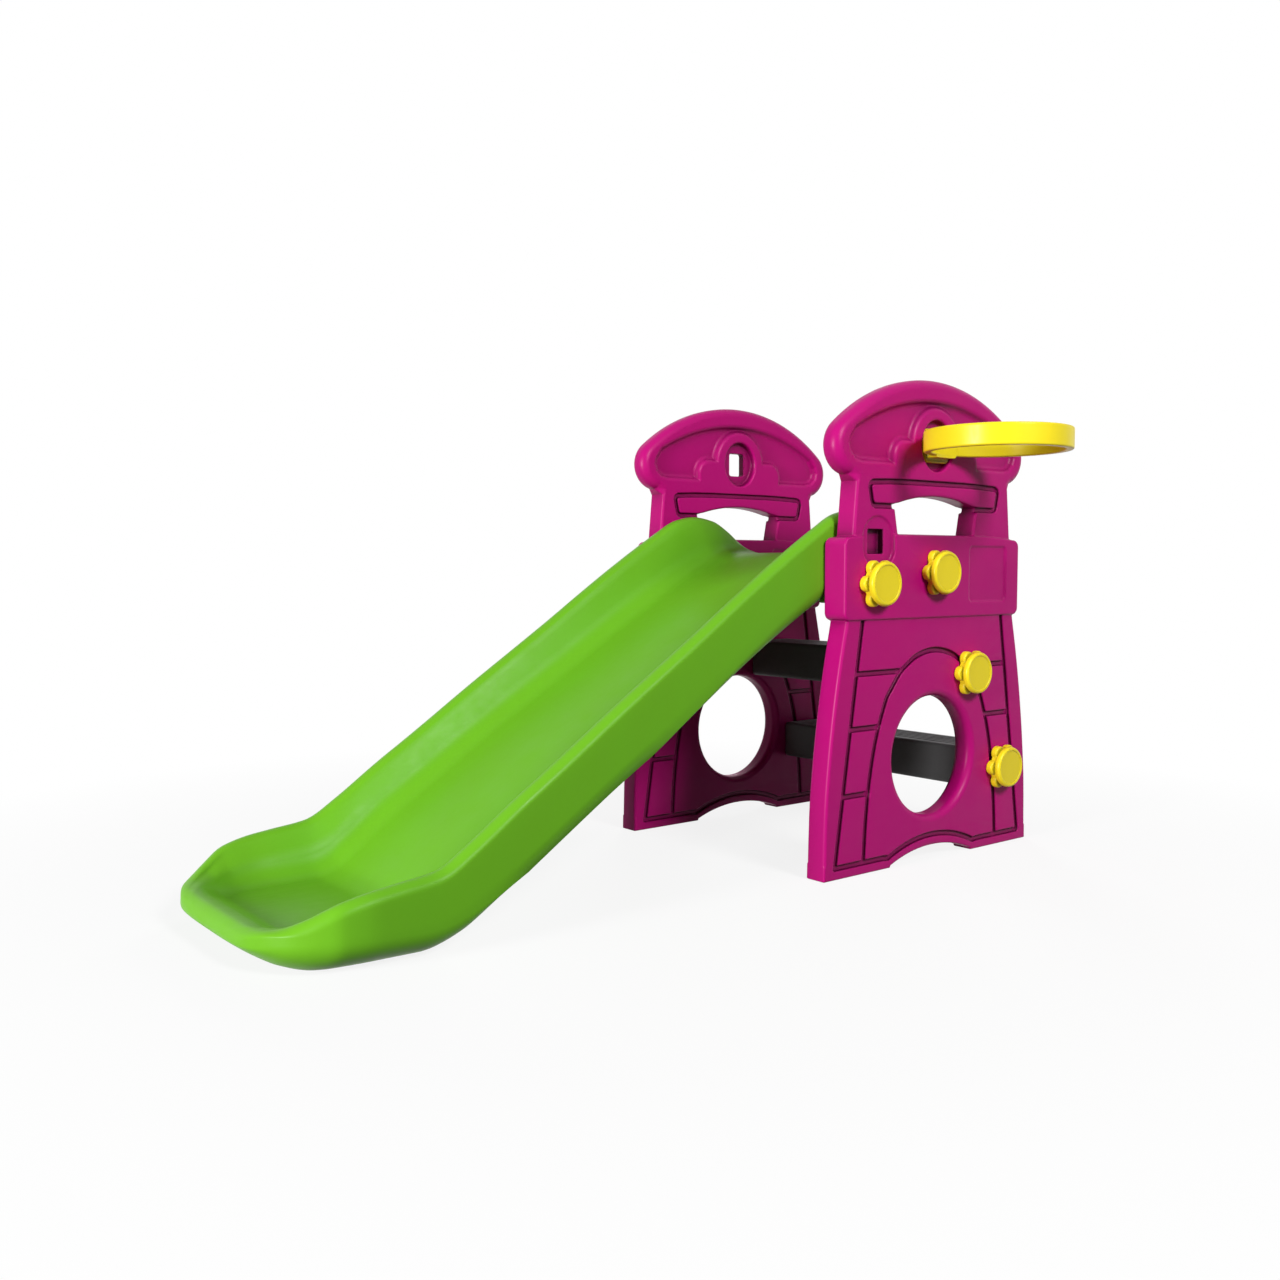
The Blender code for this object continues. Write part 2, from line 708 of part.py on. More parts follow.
def cut_socket_seat(item, tag, side, mouth):
    """The stepped hole that a socket is pressed into."""
    collar_end = -SOCKET_COLLAR_THICK - GAP
    bore = round_bar(tag + "_bore", 0, 0, SOCKET_RADIUS + GAP, -SOCKET_LONG - GAP, 0.01, SMALL_SIDES)
    collar = round_bar(tag + "_collar", 0, 0, SOCKET_COLLAR_RADIUS + GAP, collar_end, 0.01, SMALL_SIDES)
    for mesh in (bore, collar):
        mesh.transform(moved(*mouth) @ turned(side))
        cut(item, mesh)


def socket_mesh():
    """Socket pressed into a step end or a chute lug, its mouth at Y = 0."""
    profile = [
        (BORE, 0.0),
        (SOCKET_COLLAR_RADIUS, 0.0),
        (SOCKET_COLLAR_RADIUS, -SOCKET_COLLAR_THICK),
        (SOCKET_RADIUS, -SOCKET_COLLAR_THICK),
        (SOCKET_RADIUS, -SOCKET_LONG),
        (0.0, -SOCKET_LONG),
        (0.0, -SOCKET_BORE_LONG),
        (BORE, -SOCKET_BORE_LONG),
    ]
    mesh = lathe("threaded_socket", profile, SMALL_SIDES, "Y")
    smooth(mesh, 35)
    return mesh


def knob_outline():
    """Round lobes about the middle of a knob, with a notch after each."""
    middle = KNOB_FLANGE_RADIUS - KNOB_LOBE_RADIUS
    outline = []
    for number in range(KNOB_LOBES):
        turn = 360 * number / KNOB_LOBES
        lobe = math.radians(turn)
        centre = (middle * math.cos(lobe), middle * math.sin(lobe))
        outline += arc(*centre, KNOB_LOBE_RADIUS, turn - 90, turn + 90, 4)
        notch = math.radians(turn + 180 / KNOB_LOBES)
        outline += [(KNOB_NOTCH_RADIUS * math.cos(notch), KNOB_NOTCH_RADIUS * math.sin(notch))]
    return outline


def knob_mesh():
    """Screw knob whose seat is at Y = 0, with its shank towards minus Y."""
    flange = prism("knob_flange", knob_outline(), 0.0, KNOB_FLANGE_THICK)
    weigh_edges(flange, lambda first, second: float(min(first.y, second.y) > 0.001))
    item = add_object("knob_blank", flange, CUTTERS)
    bevel(item, 0.0035, 1, by_weight=True)
    disc = KNOB_DISC_RADIUS
    top = KNOB_REACH
    disc_profile = [
        (0.0, KNOB_FLANGE_THICK - 0.004),
        (disc - 0.007, KNOB_FLANGE_THICK - 0.004),
        (disc, KNOB_FLANGE_THICK + 0.005),
        (disc, top - 0.006),
        (disc - 0.006, top),
        (KNOB_FACE_RADIUS, top),
        (KNOB_FACE_RADIUS - 0.002, top - KNOB_FACE_DEPTH),
        (0.0, top - KNOB_FACE_DEPTH),
    ]
    join(item, lathe("knob_disc", disc_profile, 24, "Y"))
    shank = [(0.0, 0.003), (THREAD_ROOT, 0.003), (THREAD_ROOT, -THREAD_START)]
    ridges = int((SHANK_END - THREAD_START) / THREAD_PITCH)
    for number in range(ridges):
        start = THREAD_START + number * THREAD_PITCH
        shank += [(THREAD_RADIUS, -start - 0.45 * THREAD_PITCH), (THREAD_ROOT, -start - 0.9 * THREAD_PITCH)]
    shank += [(0.0, -SHANK_END)]
    join(item, lathe("knob_shank", shank, 10, "Y"))
    mesh = settled_mesh(item, "screw_knob")
    smooth(mesh, 40)
    return mesh


def eased(points, x):
    """A smooth curve through (x, value) points that never overshoots them."""
    places = np.array([point[0] for point in points])
    values = np.array([point[1] for point in points])
    steps = np.diff(values) / np.diff(places)
    slopes = np.zeros(len(points))
    slopes[0] = steps[0]
    slopes[-1] = steps[-1]
    for i in range(1, len(points) - 1):
        if steps[i - 1] * steps[i] > 0:
            slopes[i] = 2 * steps[i - 1] * steps[i] / (steps[i - 1] + steps[i])
    i = int(np.clip(np.searchsorted(places, x) - 1, 0, len(points) - 2))
    wide = places[i + 1] - places[i]
    t = (x - places[i]) / wide
    first = values[i] * (1 + 2 * t) * (1 - t) ** 2 + slopes[i] * wide * t * (1 - t) ** 2
    second = values[i + 1] * t * t * (3 - 2 * t) + slopes[i + 1] * wide * t * t * (t - 1)
    return float(first + second)


def slope_line(x):
    """Height of the straight line that the bed of the slope follows."""
    return SLOPE_FOOT_BED + CHUTE_SLOPE * (x - SLOPE_FOOT)


def bow(x):
    """How far the long slope bulges upwards from a straight line."""
    rise = [(SLOPE_FOOT, 0.0), (SLOPE_FOOT + 0.14, BOW), (SLOPE_FOOT + 0.27, BOW), (SLOPE_FOOT + 0.54, 0.0)]
    return eased([(CHUTE_NOSE, 0.0)] + rise + [(LIP_END + 0.1, 0.0)], x)


def bed_height(x):
    start = SLOPE_FOOT + 0.030
    return bow(x) + eased(
        [
            (CHUTE_NOSE, RUN_OUT_BED),
            (CHUTE_NOSE + 0.006, RUN_OUT_BED + 0.0120),
            (CHUTE_NOSE + 0.019, RUN_OUT_BED + 0.0200),
            (CHUTE_NOSE + 0.038, RUN_OUT_BED + 0.0175),
            (CHUTE_NOSE + 0.057, RUN_OUT_BED + 0.0080),
            (CHUTE_NOSE + 0.079, RUN_OUT_BED),
            (SLOPE_FOOT - 0.040, RUN_OUT_BED),
            (SLOPE_FOOT, SLOPE_FOOT_BED),
            (start, slope_line(start)),
            (TOP_BEND_X, slope_line(TOP_BEND_X)),
            (TOP_BEND_X + 0.030, PLATFORM_TOP - 0.0065),
            (TOP_BEND_X + 0.065, PLATFORM_TOP),
            (LIP_END + 0.015, PLATFORM_TOP),
        ],
        x,
    )


def rim_height(x):
    start = SLOPE_FOOT + 0.030
    end = TOP_BEND_X - 0.100
    crown = PLATFORM_TOP + RIM_OVER_PLATFORM
    return bow(x) + eased(
        [
            (CHUTE_NOSE, RUN_OUT_BED + 0.0010),
            (CHUTE_NOSE + 0.006, RUN_OUT_BED + 0.0135),
            (CHUTE_NOSE + 0.019, RUN_OUT_BED + 0.0225),
            (CHUTE_NOSE + 0.038, RUN_OUT_BED + 0.0280),
            (CHUTE_NOSE + 0.068, RUN_OUT_RIM - 0.0375),
            (CHUTE_NOSE + 0.110, RUN_OUT_RIM - 0.0160),
            (CHUTE_NOSE + 0.155, RUN_OUT_RIM - 0.0055),
            (CHUTE_NOSE + 0.195, RUN_OUT_RIM),
            (SLOPE_FOOT - 0.025, RUN_OUT_RIM + 0.0085),
            (start, slope_line(start) + RIM_UP_LOW),
            (end, slope_line(end) + RIM_UP_HIGH),
            (TOP_BEND_X - 0.045, crown - 0.0080),
            (TOP_BEND_X + 0.005, crown),
            (TOP_BEND_X + 0.054, crown - 0.0070),
            (TOP_BEND_X + 0.097, crown - 0.0280),
            (LIP_END - 0.033, PLATFORM_TOP + 0.0205),
            (LIP_END, PLATFORM_TOP + 0.0030),
        ],
        x,
    )


def wall_edge(x):
    """Height where the outer wall starts to turn under."""
    start = SLOPE_FOOT + 0.060
    end = TOP_BEND_X - 0.100
    return bow(x) + eased(
        [
            (CHUTE_NOSE, RUN_OUT_BED - 0.002),
            (CHUTE_NOSE + 0.032, RUN_OUT_BED + 0.006),
            (CHUTE_NOSE + 0.105, RUN_OUT_BED + 0.010),
            (SLOPE_FOOT - 0.040, RUN_OUT_BED + 0.006),
            (start, slope_line(start) + EDGE_UP_LOW),
            (end, slope_line(end) + EDGE_UP_HIGH),
            (TOP_BEND_X + 0.020, PLATFORM_TOP - 0.0145),
            (LIP_END, PLATFORM_TOP - 0.0095),
        ],
        x,
    )


def under_height(x):
    start = SLOPE_FOOT + 0.100
    end = TOP_BEND_X - 0.030
    return bow(x) + eased(
        [
            (CHUTE_NOSE, RUN_OUT_BED - 0.006),
            (CHUTE_NOSE + 0.017, RUN_OUT_BED - 0.017),
            (CHUTE_NOSE + 0.045, RUN_OUT_BED - 0.031),
            (CHUTE_NOSE + 0.085, 0.0),
            (SLOPE_FOOT - 0.045, 0.0),
            (SLOPE_FOOT + 0.015, 0.018),
            (start, slope_line(start) - BED_THICK),
            (end, slope_line(end) - BED_THICK),
            (TOP_BEND_X + 0.050, PLATFORM_TOP - BED_THICK),
            (LIP_END + 0.015, PLATFORM_TOP - BED_THICK),
        ],
        x,
    )


def chute_half_width(x):
    return eased(
        [
            (CHUTE_NOSE, SLOPE_FOOT_WIDE - 0.165),
            (CHUTE_NOSE + 0.0025, SLOPE_FOOT_WIDE - 0.132),
            (CHUTE_NOSE + 0.011, SLOPE_FOOT_WIDE - 0.100),
            (CHUTE_NOSE + 0.025, SLOPE_FOOT_WIDE - 0.072),
            (CHUTE_NOSE + 0.048, SLOPE_FOOT_WIDE - 0.043),
            (CHUTE_NOSE + 0.077, SLOPE_FOOT_WIDE - 0.021),
            (CHUTE_NOSE + 0.108, SLOPE_FOOT_WIDE - 0.006),
            (CHUTE_NOSE + 0.165, SLOPE_FOOT_WIDE),
            (SLOPE_FOOT + 0.160, SLOPE_FOOT_WIDE - 0.002),
            (TOP_BEND_X - 0.150, CHUTE_HALF - LUG_PROUD),
            (LIP_END, CHUTE_HALF - LUG_PROUD),
        ],
        x,
    )


def inner_lean(x):
    """How far the inner wall leans in between the rim and the bed."""
    low = [(CHUTE_NOSE, 0.024), (SLOPE_FOOT - 0.040, 0.024)]
    return eased(low + [(SLOPE_FOOT + 0.110, 0.015), (LIP_END + 0.095, 0.012)], x)


def under_turn(x):
    """Width of the curve between the outer wall and the underside."""
    low = [(CHUTE_NOSE, 0.060), (CHUTE_NOSE + 0.145, 0.080), (SLOPE_FOOT + 0.010, 0.070)]
    return eased(low + [(SLOPE_FOOT + 0.160, 0.050), (LIP_END + 0.095, 0.050)], x)


def chute_section(x):
    """One half of the chute's cross-section, from the middle of the underside to the middle of the bed."""
    wide = chute_half_width(x)
    bed = bed_height(x)
    rim = rim_height(x)
    under = under_height(x)
    edge = max(wall_edge(x), under + 0.001)
    turn = under_turn(x)
    tall = max(rim - bed, 0.0005)
    drop = min(RIM_HALF_THICK, 0.45 * tall + 0.002, 0.6 * (rim - edge))
    fillet = min(0.045, 0.5 * tall)
    half = [(0.0, under), ((wide - turn) * 0.55, under)]
    for i in range(5):
        t = math.radians(90 * i / 4)
        half.append((wide - turn + turn * math.sin(t), edge - (edge - under) * math.cos(t)))
    top_wide = wide - 0.002
    inner_drop = min(drop, 0.45 * tall)
    for i in range(6):
        t = math.radians(180 * i / 5)
        y = top_wide - RIM_HALF_THICK + RIM_HALF_THICK * math.cos(t)
        fall = drop if t < math.pi / 2 else inner_drop
        half.append((y, rim - fall * (1 - math.sin(t))))
    foot = top_wide - 2 * RIM_HALF_THICK - inner_lean(x)
    start = np.array([foot + 0.002, bed + fillet])
    corner = np.array([foot - min(0.010, 0.1 * foot), bed + 0.02 * fillet])
    end = np.array([foot - min(0.048, 0.5 * foot), bed])
    for t in (0.0, 0.333, 0.667, 1.0):
        spot = start * (1 - t) ** 2 + 2 * corner * t * (1 - t) + end * t * t
        half.append((float(spot[0]), float(spot[1])))
    half.append((foot * 0.25, bed))
    half.append((0.0, bed))
    return half


def chute_stations():
    """Where along X a cross-section is taken, from the nose to the lip."""
    nose = [0.0, 0.0025, 0.006, 0.012, 0.020, 0.032, 0.046, 0.063, 0.084, 0.110, 0.145, 0.185]
    foot = [-0.065, -0.037, -0.015, 0.005, 0.025, 0.050, 0.090, 0.140]
    slope = [0.10, 0.21, 0.33, 0.46, 0.60, 0.87, 0.94, 1.0]
    top = [0.15, 0.28, 0.41, 0.54, 0.65, 0.765, 0.885]
    slope_start = SLOPE_FOOT + foot[-1]
    top_start = TOP_BEND_X - 0.075
    stations = [CHUTE_NOSE + step for step in nose] + [SLOPE_FOOT + step for step in foot]
    stations += [slope_start + share * (top_start - slope_start) for share in slope]
    stations += [top_start + share * (LIP_END - top_start) for share in top]
    return stations + [LIP_END]


def chute_mesh():
    shape = bmesh.new()
    rings = []
    for x in chute_stations():
        half = chute_section(x)
        whole = half + [(-y, z) for y, z in reversed(half[1:-1])]
        rings.append([shape.verts.new((x, y, z)) for y, z in whole])
    count = len(rings[0])
    for first, second in zip(rings, rings[1:]):
        for k in range(count):
            after = (k + 1) % count
            shape.faces.new((first[k], first[after], second[after], second[k]))
    shape.faces.new(rings[0])
    shape.faces.new(list(reversed(rings[-1])))
    item = add_object("chute_blank", finish_mesh("chute_blank", shape), CUTTERS)

    for side in (-1, 1):
        ends = sorted((side * CHUTE_HALF, side * (CHUTE_HALF - LUG_DEEP)))
        lug_low = (CHUTE_KNOB_X - LUG_HALF, ends[0], LUG_LOW)
        lug_high = (CHUTE_KNOB_X + LUG_HALF, ends[1], LUG_TOP)
        lug = join(item, box(f"chute_lug_{side}", lug_low, lug_high))
        bevel(lug, 0.004, 1)
    step_x, step_top = step_place(0)
    under_low = (step_x - STEP_DEEP / 2 - GAP, -0.4, step_top - 0.2)
    cut(item, box("under_lip", under_low, (0.2, 0.4, step_top - LIP_THICK + GAP)))
    for side in (-1, 1):
        cut_socket_seat(item, f"chute_{side}", side, (CHUTE_KNOB_X, side * CHUTE_HALF, CHUTE_KNOB_Z))
    mesh = settled_mesh(item, "chute")
    smooth(mesh, 50)
    return mesh


def hoop_mesh():
    """Ring, mounting plate and tongue in one piece, about the middle of the slot in the minus Y panel."""
    seat = PANEL_MIDDLE + OVAL_WALL / 2 + GAP
    ring_y = PANEL_OUTER_FACE + HOOP_FACE_GAP + HOOP_RADIUS
    low = MOUNT_Z - HOOP_HALF_TALL
    top = MOUNT_Z + HOOP_HALF_TALL
    out = HOOP_RADIUS
    into = HOOP_RADIUS - HOOP_WALL
    profile = [
        (out - 0.003, low),
        (out, low + 0.003),
        (out, top - 0.005),
        (out - 0.003, top),
        (into + 0.003, top),
        (into, top - 0.003),
        (into, low + 0.002),
        (into + 0.002, low),
    ]
    ring = lathe("hoop_ring", profile, 48, "Z")
    ring.transform(moved(0, -ring_y, 0))
    item = add_object("hoop_blank", ring, CUTTERS)
    plate_low = MOUNT_Z - HOOP_PLATE_HALF_TALL
    plate_top = MOUNT_Z + HOOP_PLATE_HALF_TALL
    plate = rounded_box(-HOOP_PLATE_HALF, HOOP_PLATE_HALF, plate_low, plate_top, 0.010)
    join(item, prism("hoop_plate", plate, -seat - HOOP_PLATE_THICK, -seat))
    near = ring_y - math.sqrt(into**2 - HOOP_NECK_HALF**2)
    neck_low = (-HOOP_NECK_HALF, -near - 0.002, low - 0.004)
    neck_high = (HOOP_NECK_HALF, -seat - 0.004, top - 0.006)
    join(item, box("hoop_neck", neck_low, neck_high))
    half = SLOT_HALF - HOOP_TONGUE_CLEAR
    tall = SLOT_HALF_TALL - HOOP_TONGUE_CLEAR
    tongue = rounded_box(-half, half, MOUNT_Z - tall, MOUNT_Z + tall, SLOT_CORNER)
    reach = PANEL_MIDDLE - OVAL_WALL / 2 - HOOP_TONGUE_REACH
    join(item, prism("hoop_tongue", tongue, -seat - 0.004, -reach))
    mesh = settled_mesh(item, "ball_hoop")
    mesh.transform(moved(0, PANEL_MIDDLE, -MOUNT_Z))
    smooth(mesh, 35)
    return mesh


def root_place():
    """Shift that puts the middle of the whole object's footprint at the origin."""
    low_y = -(PANEL_OUTER_FACE + HOOP_FACE_GAP + 2 * HOOP_RADIUS)
    high_y = BAND_OUTER_FACE + GAP + KNOB_REACH
    return -(CHUTE_NOSE + FOOT_HALF) / 2, -(low_y + high_y) / 2


def place(name, mesh, material, location, turn=0.0):
    item = add_object(name, mesh, OBJECT, material)
    item.location = location
    item.rotation_euler = (0, 0, turn)
    item.parent = ROOT
    return item


clear_scene()
OBJECT = new_collection("kids_slide", False)
CUTTERS = new_collection("cutters", True)

ROOT = bpy.data.objects.new("slide_root", None)
OBJECT.objects.link(ROOT)
shift_x, shift_y = root_place()
ROOT.location = (shift_x, shift_y, 0)

PANEL_PLASTIC = plastic("panel_plastic", MAGENTA, 0.38)
CHUTE_PLASTIC = plastic("chute_plastic", GREEN, 0.32)
KNOB_PLASTIC = plastic("knob_plastic", YELLOW, 0.35)
HOOP_PLASTIC = plastic("hoop_plastic", YELLOW, 0.33)
STEP_PLASTIC = plastic("step_plastic", DARK_GREY, 0.55)
SOCKET_PLASTIC = plastic("socket_plastic", PALE_GREY, 0.50)

panel = side_panel_mesh()
place("left_side_panel", panel, PANEL_PLASTIC, (0, -PANEL_MIDDLE, 0))
place("right_side_panel", panel.copy(), PANEL_PLASTIC, (0, PANEL_MIDDLE, 0))

place("chute", chute_mesh(), CHUTE_PLASTIC, (0, 0, 0))

STEP_NAMES = ("top_step", "middle_step", "lower_step")
for step_number, step_name in enumerate(STEP_NAMES):
    step_x, step_top = step_place(step_number)
    place(step_name, step_mesh(step_name, step_number), STEP_PLASTIC, (step_x, 0, step_top))

knob = knob_mesh()
socket = socket_mesh()
KNOB_OWNERS = ("chute",) + STEP_NAMES
for owner, (knob_x, knob_z) in zip(KNOB_OWNERS, knob_places()):
    on_band = owner in ("chute", "top_step")
    seat_y = (BAND_OUTER_FACE if on_band else PANEL_OUTER_FACE) + GAP
    mouth_y = (BAND_INNER_FACE if on_band else BODY_INNER_FACE) - GAP
    for hand, side in (("left", -1), ("right", 1)):
        turn = 0.0 if side > 0 else math.pi
        place(f"{owner}_{hand}_knob", knob.copy(), KNOB_PLASTIC, (knob_x, side * seat_y, knob_z), turn)
        place(
            f"{owner}_{hand}_socket",
            socket.copy(),
            SOCKET_PLASTIC,
            (knob_x, side * mouth_y, knob_z),
            turn,
        )

place("ball_hoop", hoop_mesh(), HOOP_PLASTIC, (0, -PANEL_MIDDLE, MOUNT_Z))
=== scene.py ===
"""Looks of the toddler slide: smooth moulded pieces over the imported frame, in a plain pale studio."""

import json
import math

import bpy
import numpy as np
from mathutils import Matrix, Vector


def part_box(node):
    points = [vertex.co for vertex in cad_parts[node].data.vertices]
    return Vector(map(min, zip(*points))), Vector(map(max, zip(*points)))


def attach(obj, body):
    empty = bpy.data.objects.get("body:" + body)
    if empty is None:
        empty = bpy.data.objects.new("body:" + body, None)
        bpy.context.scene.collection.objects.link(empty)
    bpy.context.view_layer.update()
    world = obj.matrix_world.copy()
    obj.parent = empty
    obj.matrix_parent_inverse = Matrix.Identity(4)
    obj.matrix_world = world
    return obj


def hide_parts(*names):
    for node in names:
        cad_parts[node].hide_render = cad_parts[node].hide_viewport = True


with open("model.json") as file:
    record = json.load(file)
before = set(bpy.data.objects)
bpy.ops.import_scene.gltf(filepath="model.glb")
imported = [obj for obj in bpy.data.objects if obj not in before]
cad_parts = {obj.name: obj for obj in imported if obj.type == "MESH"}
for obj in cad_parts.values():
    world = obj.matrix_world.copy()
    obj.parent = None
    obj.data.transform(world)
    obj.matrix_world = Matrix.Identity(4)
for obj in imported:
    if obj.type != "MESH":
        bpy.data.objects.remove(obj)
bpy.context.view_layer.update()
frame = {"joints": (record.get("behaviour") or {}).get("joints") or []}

# All sizes are in metres. X runs along the chute and falls towards minus X, Z is up.

# Sampling step of each moulded piece
PANEL_CELL = 0.0017
STEP_CELL = 0.0014
KNOB_CELL = 0.0009
HOOP_CELL = 0.0013

# Share of its faces that each sampled mesh keeps
PANEL_KEEP = 0.35
STEP_KEEP = 0.35
LUG_KEEP = 0.3
KNOB_KEEP = 0.35
HOOP_KEEP = 0.4

# Side panels, measured about the middle of a panel. The edges of a field that is pressed in are the
# lean of its wall and the rounding of its mouth and of its floor.
GAP = 0.0003
PANEL_HEIGHT = 0.950
BODY_HALF = 0.02285
BAND_PROUD = 0.004
BAND_DEEP = BODY_HALF + BAND_PROUD
FOOT_HALF = 0.3135
WAIST_HALF = 0.2565
BAND_HALF = 0.268
BAND_LOW = 0.484
BAND_TOP = 0.6475
BAND_SHOULDER = 0.640
BAND_CORNER = 0.015
BAND_ROUND = 0.004
BAND_FILLET = 0.0022
NECK_LOW_HALF = 0.2415
NECK_TOP_HALF = 0.2325
NECK_TOP = 0.750
NECK_SUNK = 0.060
BASE_SUNK_SHARE = 1.155
BASE_ARCH_HALF = 0.126
BASE_ARCH_RISE = 0.0285
BASE_ARCH_STEP = 0.004
BASE_LINE_UP = 0.021
EDGE_ROUND = 0.006
FOOT_ROUND = 0.003
CAP_ROUND = 0.019
FLARE = ((0.0, 0.0), (0.25, 0.055), (0.45, 0.20), (0.62, 0.385), (0.83, 0.69), (1.0, 1.0), (1.16, 1.27))

# Arched cap of a panel
CAP_RADIUS = 0.425
CAP_CORNER_RADIUS = 0.056
CAP_CORNER_ANGLE = 39.2
CAP_RECESS_RADIUS = 0.480
CAP_RECESS_TOP = 0.908
CAP_RECESS_LOW = 0.781
CAP_RECESS_HALF = 0.236
CAP_RECESS_DEPTH = 0.011
CAP_RECESS_EDGES = (0.006, 0.006, 0.006)
CAP_RECESS_END = ((0.249, 0.797), (0.254, 0.812), (0.250, 0.827))

# Hoop mount in the cap
BOSS_RADIUS = 0.0725
BOSS_LOW_HALF = 0.127
BOSS_LOW_TOP = 0.826
BOSS_LOW_ROUND = 0.030
MOUNT_Z = 0.8215
OVAL_HALF = 0.047
OVAL_TALL = 0.051
OVAL_WALL = 0.017
OVAL_EDGES = (0.003, 0.004, 0.003)
SLOT_HALF = 0.022
SLOT_HALF_TALL = 0.026
SLOT_CORNER = 0.006
SLOT_ROUND = 0.0015

# Openings of a panel
CRAWL_Z = 0.2086
CRAWL_RADIUS = 0.119
CRAWL_BEVEL = 0.015
WINDOW_LOW_HALF = 0.115
WINDOW_TOP_HALF = 0.126
WINDOW_CORNER_Z = 0.703
WINDOW_TOP = 0.722
WINDOW_ROUND = 0.005
KNOB_HOLE_ROUND = 0.0008

# Relief of a panel
SIDE_LINE_LOW = 0.2835
SIDE_LINE_TOP = 0.2165
GROOVE_WIDTH = 0.0105
GROOVE_DEPTH = 0.0065
GROOVE_EDGES = (0.001, 0.0018, 0.002)
BORDER_LOW = 0.022
BRICK_Z = (0.154, 0.279, 0.383)
NICHE_X = -0.173
NICHE_HALF = 0.046
NICHE_TOP = 0.683
NICHE_LOW = 0.585
NICHE_LOW_CORNER = 0.036
NICHE_DEPTH = 0.007
NICHE_EDGES = (0.003, 0.002, 0.003)
POCKET_X = -0.178
POCKET_HALF = 0.0225
POCKET_LOW = 0.609
POCKET_TOP = 0.656
POCKET_CORNER = 0.003
POCKET_DEPTH = 0.021
POCKET_EDGES = (0.001, 0.0015, 0.002)
PLATE_LOW_X = 0.101
PLATE_HIGH_X = 0.223
PLATE_LOW = 0.513
PLATE_TOP = 0.627
PLATE_CORNER = 0.010
PLATE_DEPTH = 0.003
PLATE_EDGES = (0.003, 0.002, 0.001)

# Steps
STEP_ROUND = 0.008
STEP_END_SHARE = 0.6
STEP_CUT_ROUND = 0.0012
TREAD_LINES = (-0.034, -0.017, 0.0, 0.017, 0.034)
TREAD_LINE_WIDE = 0.005
TREAD_LINE_DEEP = 0.002
TREAD_LINE_END = 0.030

# Chute
LIP_THICK = 0.008
LIP_END = 0.005
CHUTE_NOSE = -1.345
RIM_HALF_THICK = 0.018
RIM_TURN = 150
WALL_LEAN = 0.002
BED_FILLET = 0.045
BED_FILLET_CORNER = 0.010
BED_FILLET_END = 0.048
SLOPE_FOOT = -1.060
SLOPE_FOOT_Z = 0.050
CHUTE_SLOPE = 0.613
RIM_SLOPE = 0.664
EDGE_SLOPE = 0.655
BED_THICK = 0.033
BOW = 0.0095
PLATFORM_TOP = 0.6145
TOP_STEP_FRONT = -0.0715
INNER_LEAN = ((-1.345, 0.024), (-1.100, 0.024), (-0.950, 0.015), (0.1, 0.012))
UNDER_TURN = ((-1.345, 0.060), (-1.200, 0.080), (-1.050, 0.070), (-0.900, 0.050), (0.1, 0.050))
LUG_HALF = 0.045
LUG_LOW = 0.515
LUG_TOP = 0.600
LUG_DEEP = 0.052
LUG_PROUD = 0.001
LUG_ROUND = 0.006
SOCKET_SEAT_ROUND = 0.0003

# Knobs and sockets
KNOB_LOBES = 6
LOBE_REACH = 0.0479
LOBE_RADIUS = 0.0150
LOBE_FILLET = 0.0012
KNOB_FILLET = 0.0010
KNOB_CORE = 0.0310
KNOB_FLANGE_THICK = 0.0150
KNOB_FLANGE_ROUND = 0.0040
KNOB_WAIST_IN = 0.0045
KNOB_DISC_RADIUS = 0.0419
KNOB_DISC_LOW = 0.0165
KNOB_DISC_ROUND = 0.0052
KNOB_DISC_FILLET = 0.0012
KNOB_REACH = 0.0299
KNOB_FACE_RADIUS = 0.0345
KNOB_FACE_DEPTH = 0.0016
KNOB_FACE_ROUND = 0.0016
THREAD_RADIUS = 0.0108
THREAD_ROOT = 0.0090
THREAD_PITCH = 0.0080
THREAD_START = 0.0300
SHANK_END = 0.078
SHANK_ROUND = 0.0015
KNOB_SEAT_CLEAR = 0.030
SOCKET_RADIUS = 0.0160
SOCKET_COLLAR_RADIUS = 0.0210
SOCKET_COLLAR_THICK = 0.0030
SOCKET_LONG = 0.0380
SOCKET_BORE_LONG = 0.0350
BORE = 0.0117
SOCKET_SIDES = 56

# Hoop
HOOP_RADIUS = 0.1364
HOOP_WALL = 0.015
HOOP_FACE_GAP = 0.0025
HOOP_HALF_TALL = 0.02035
HOOP_ROUND = 0.0035
HOOP_FILLET = 0.003
HOOP_PLATE_HALF = 0.036
HOOP_PLATE_HALF_TALL = 0.033
HOOP_PLATE_THICK = 0.012
HOOP_PLATE_CORNER = 0.010
HOOP_PLATE_ROUND = 0.0022
HOOP_NECK_HALF = 0.030
HOOP_NECK_Z = -0.005
HOOP_NECK_CORNER = 0.004
HOOP_NECK_ROUND = 0.002
HOOP_TONGUE_CLEAR = 0.0008
HOOP_TONGUE_REACH = 0.012
HOOP_TONGUE_ROUND = 0.0016

# Colours, as linear light
MAGENTA = (0.48, 0.003, 0.172)
GREEN = (0.138, 0.41, 0.014)
YELLOW = (0.92, 0.74, 0.016)
DARK_GREY = (0.125, 0.127, 0.128)
PALE_GREY = (0.30, 0.31, 0.32)

# How far a surface looks round it for nearby walls, to paint shade into grooves and pockets
PAINTED_SHADE_REACH = 0.050

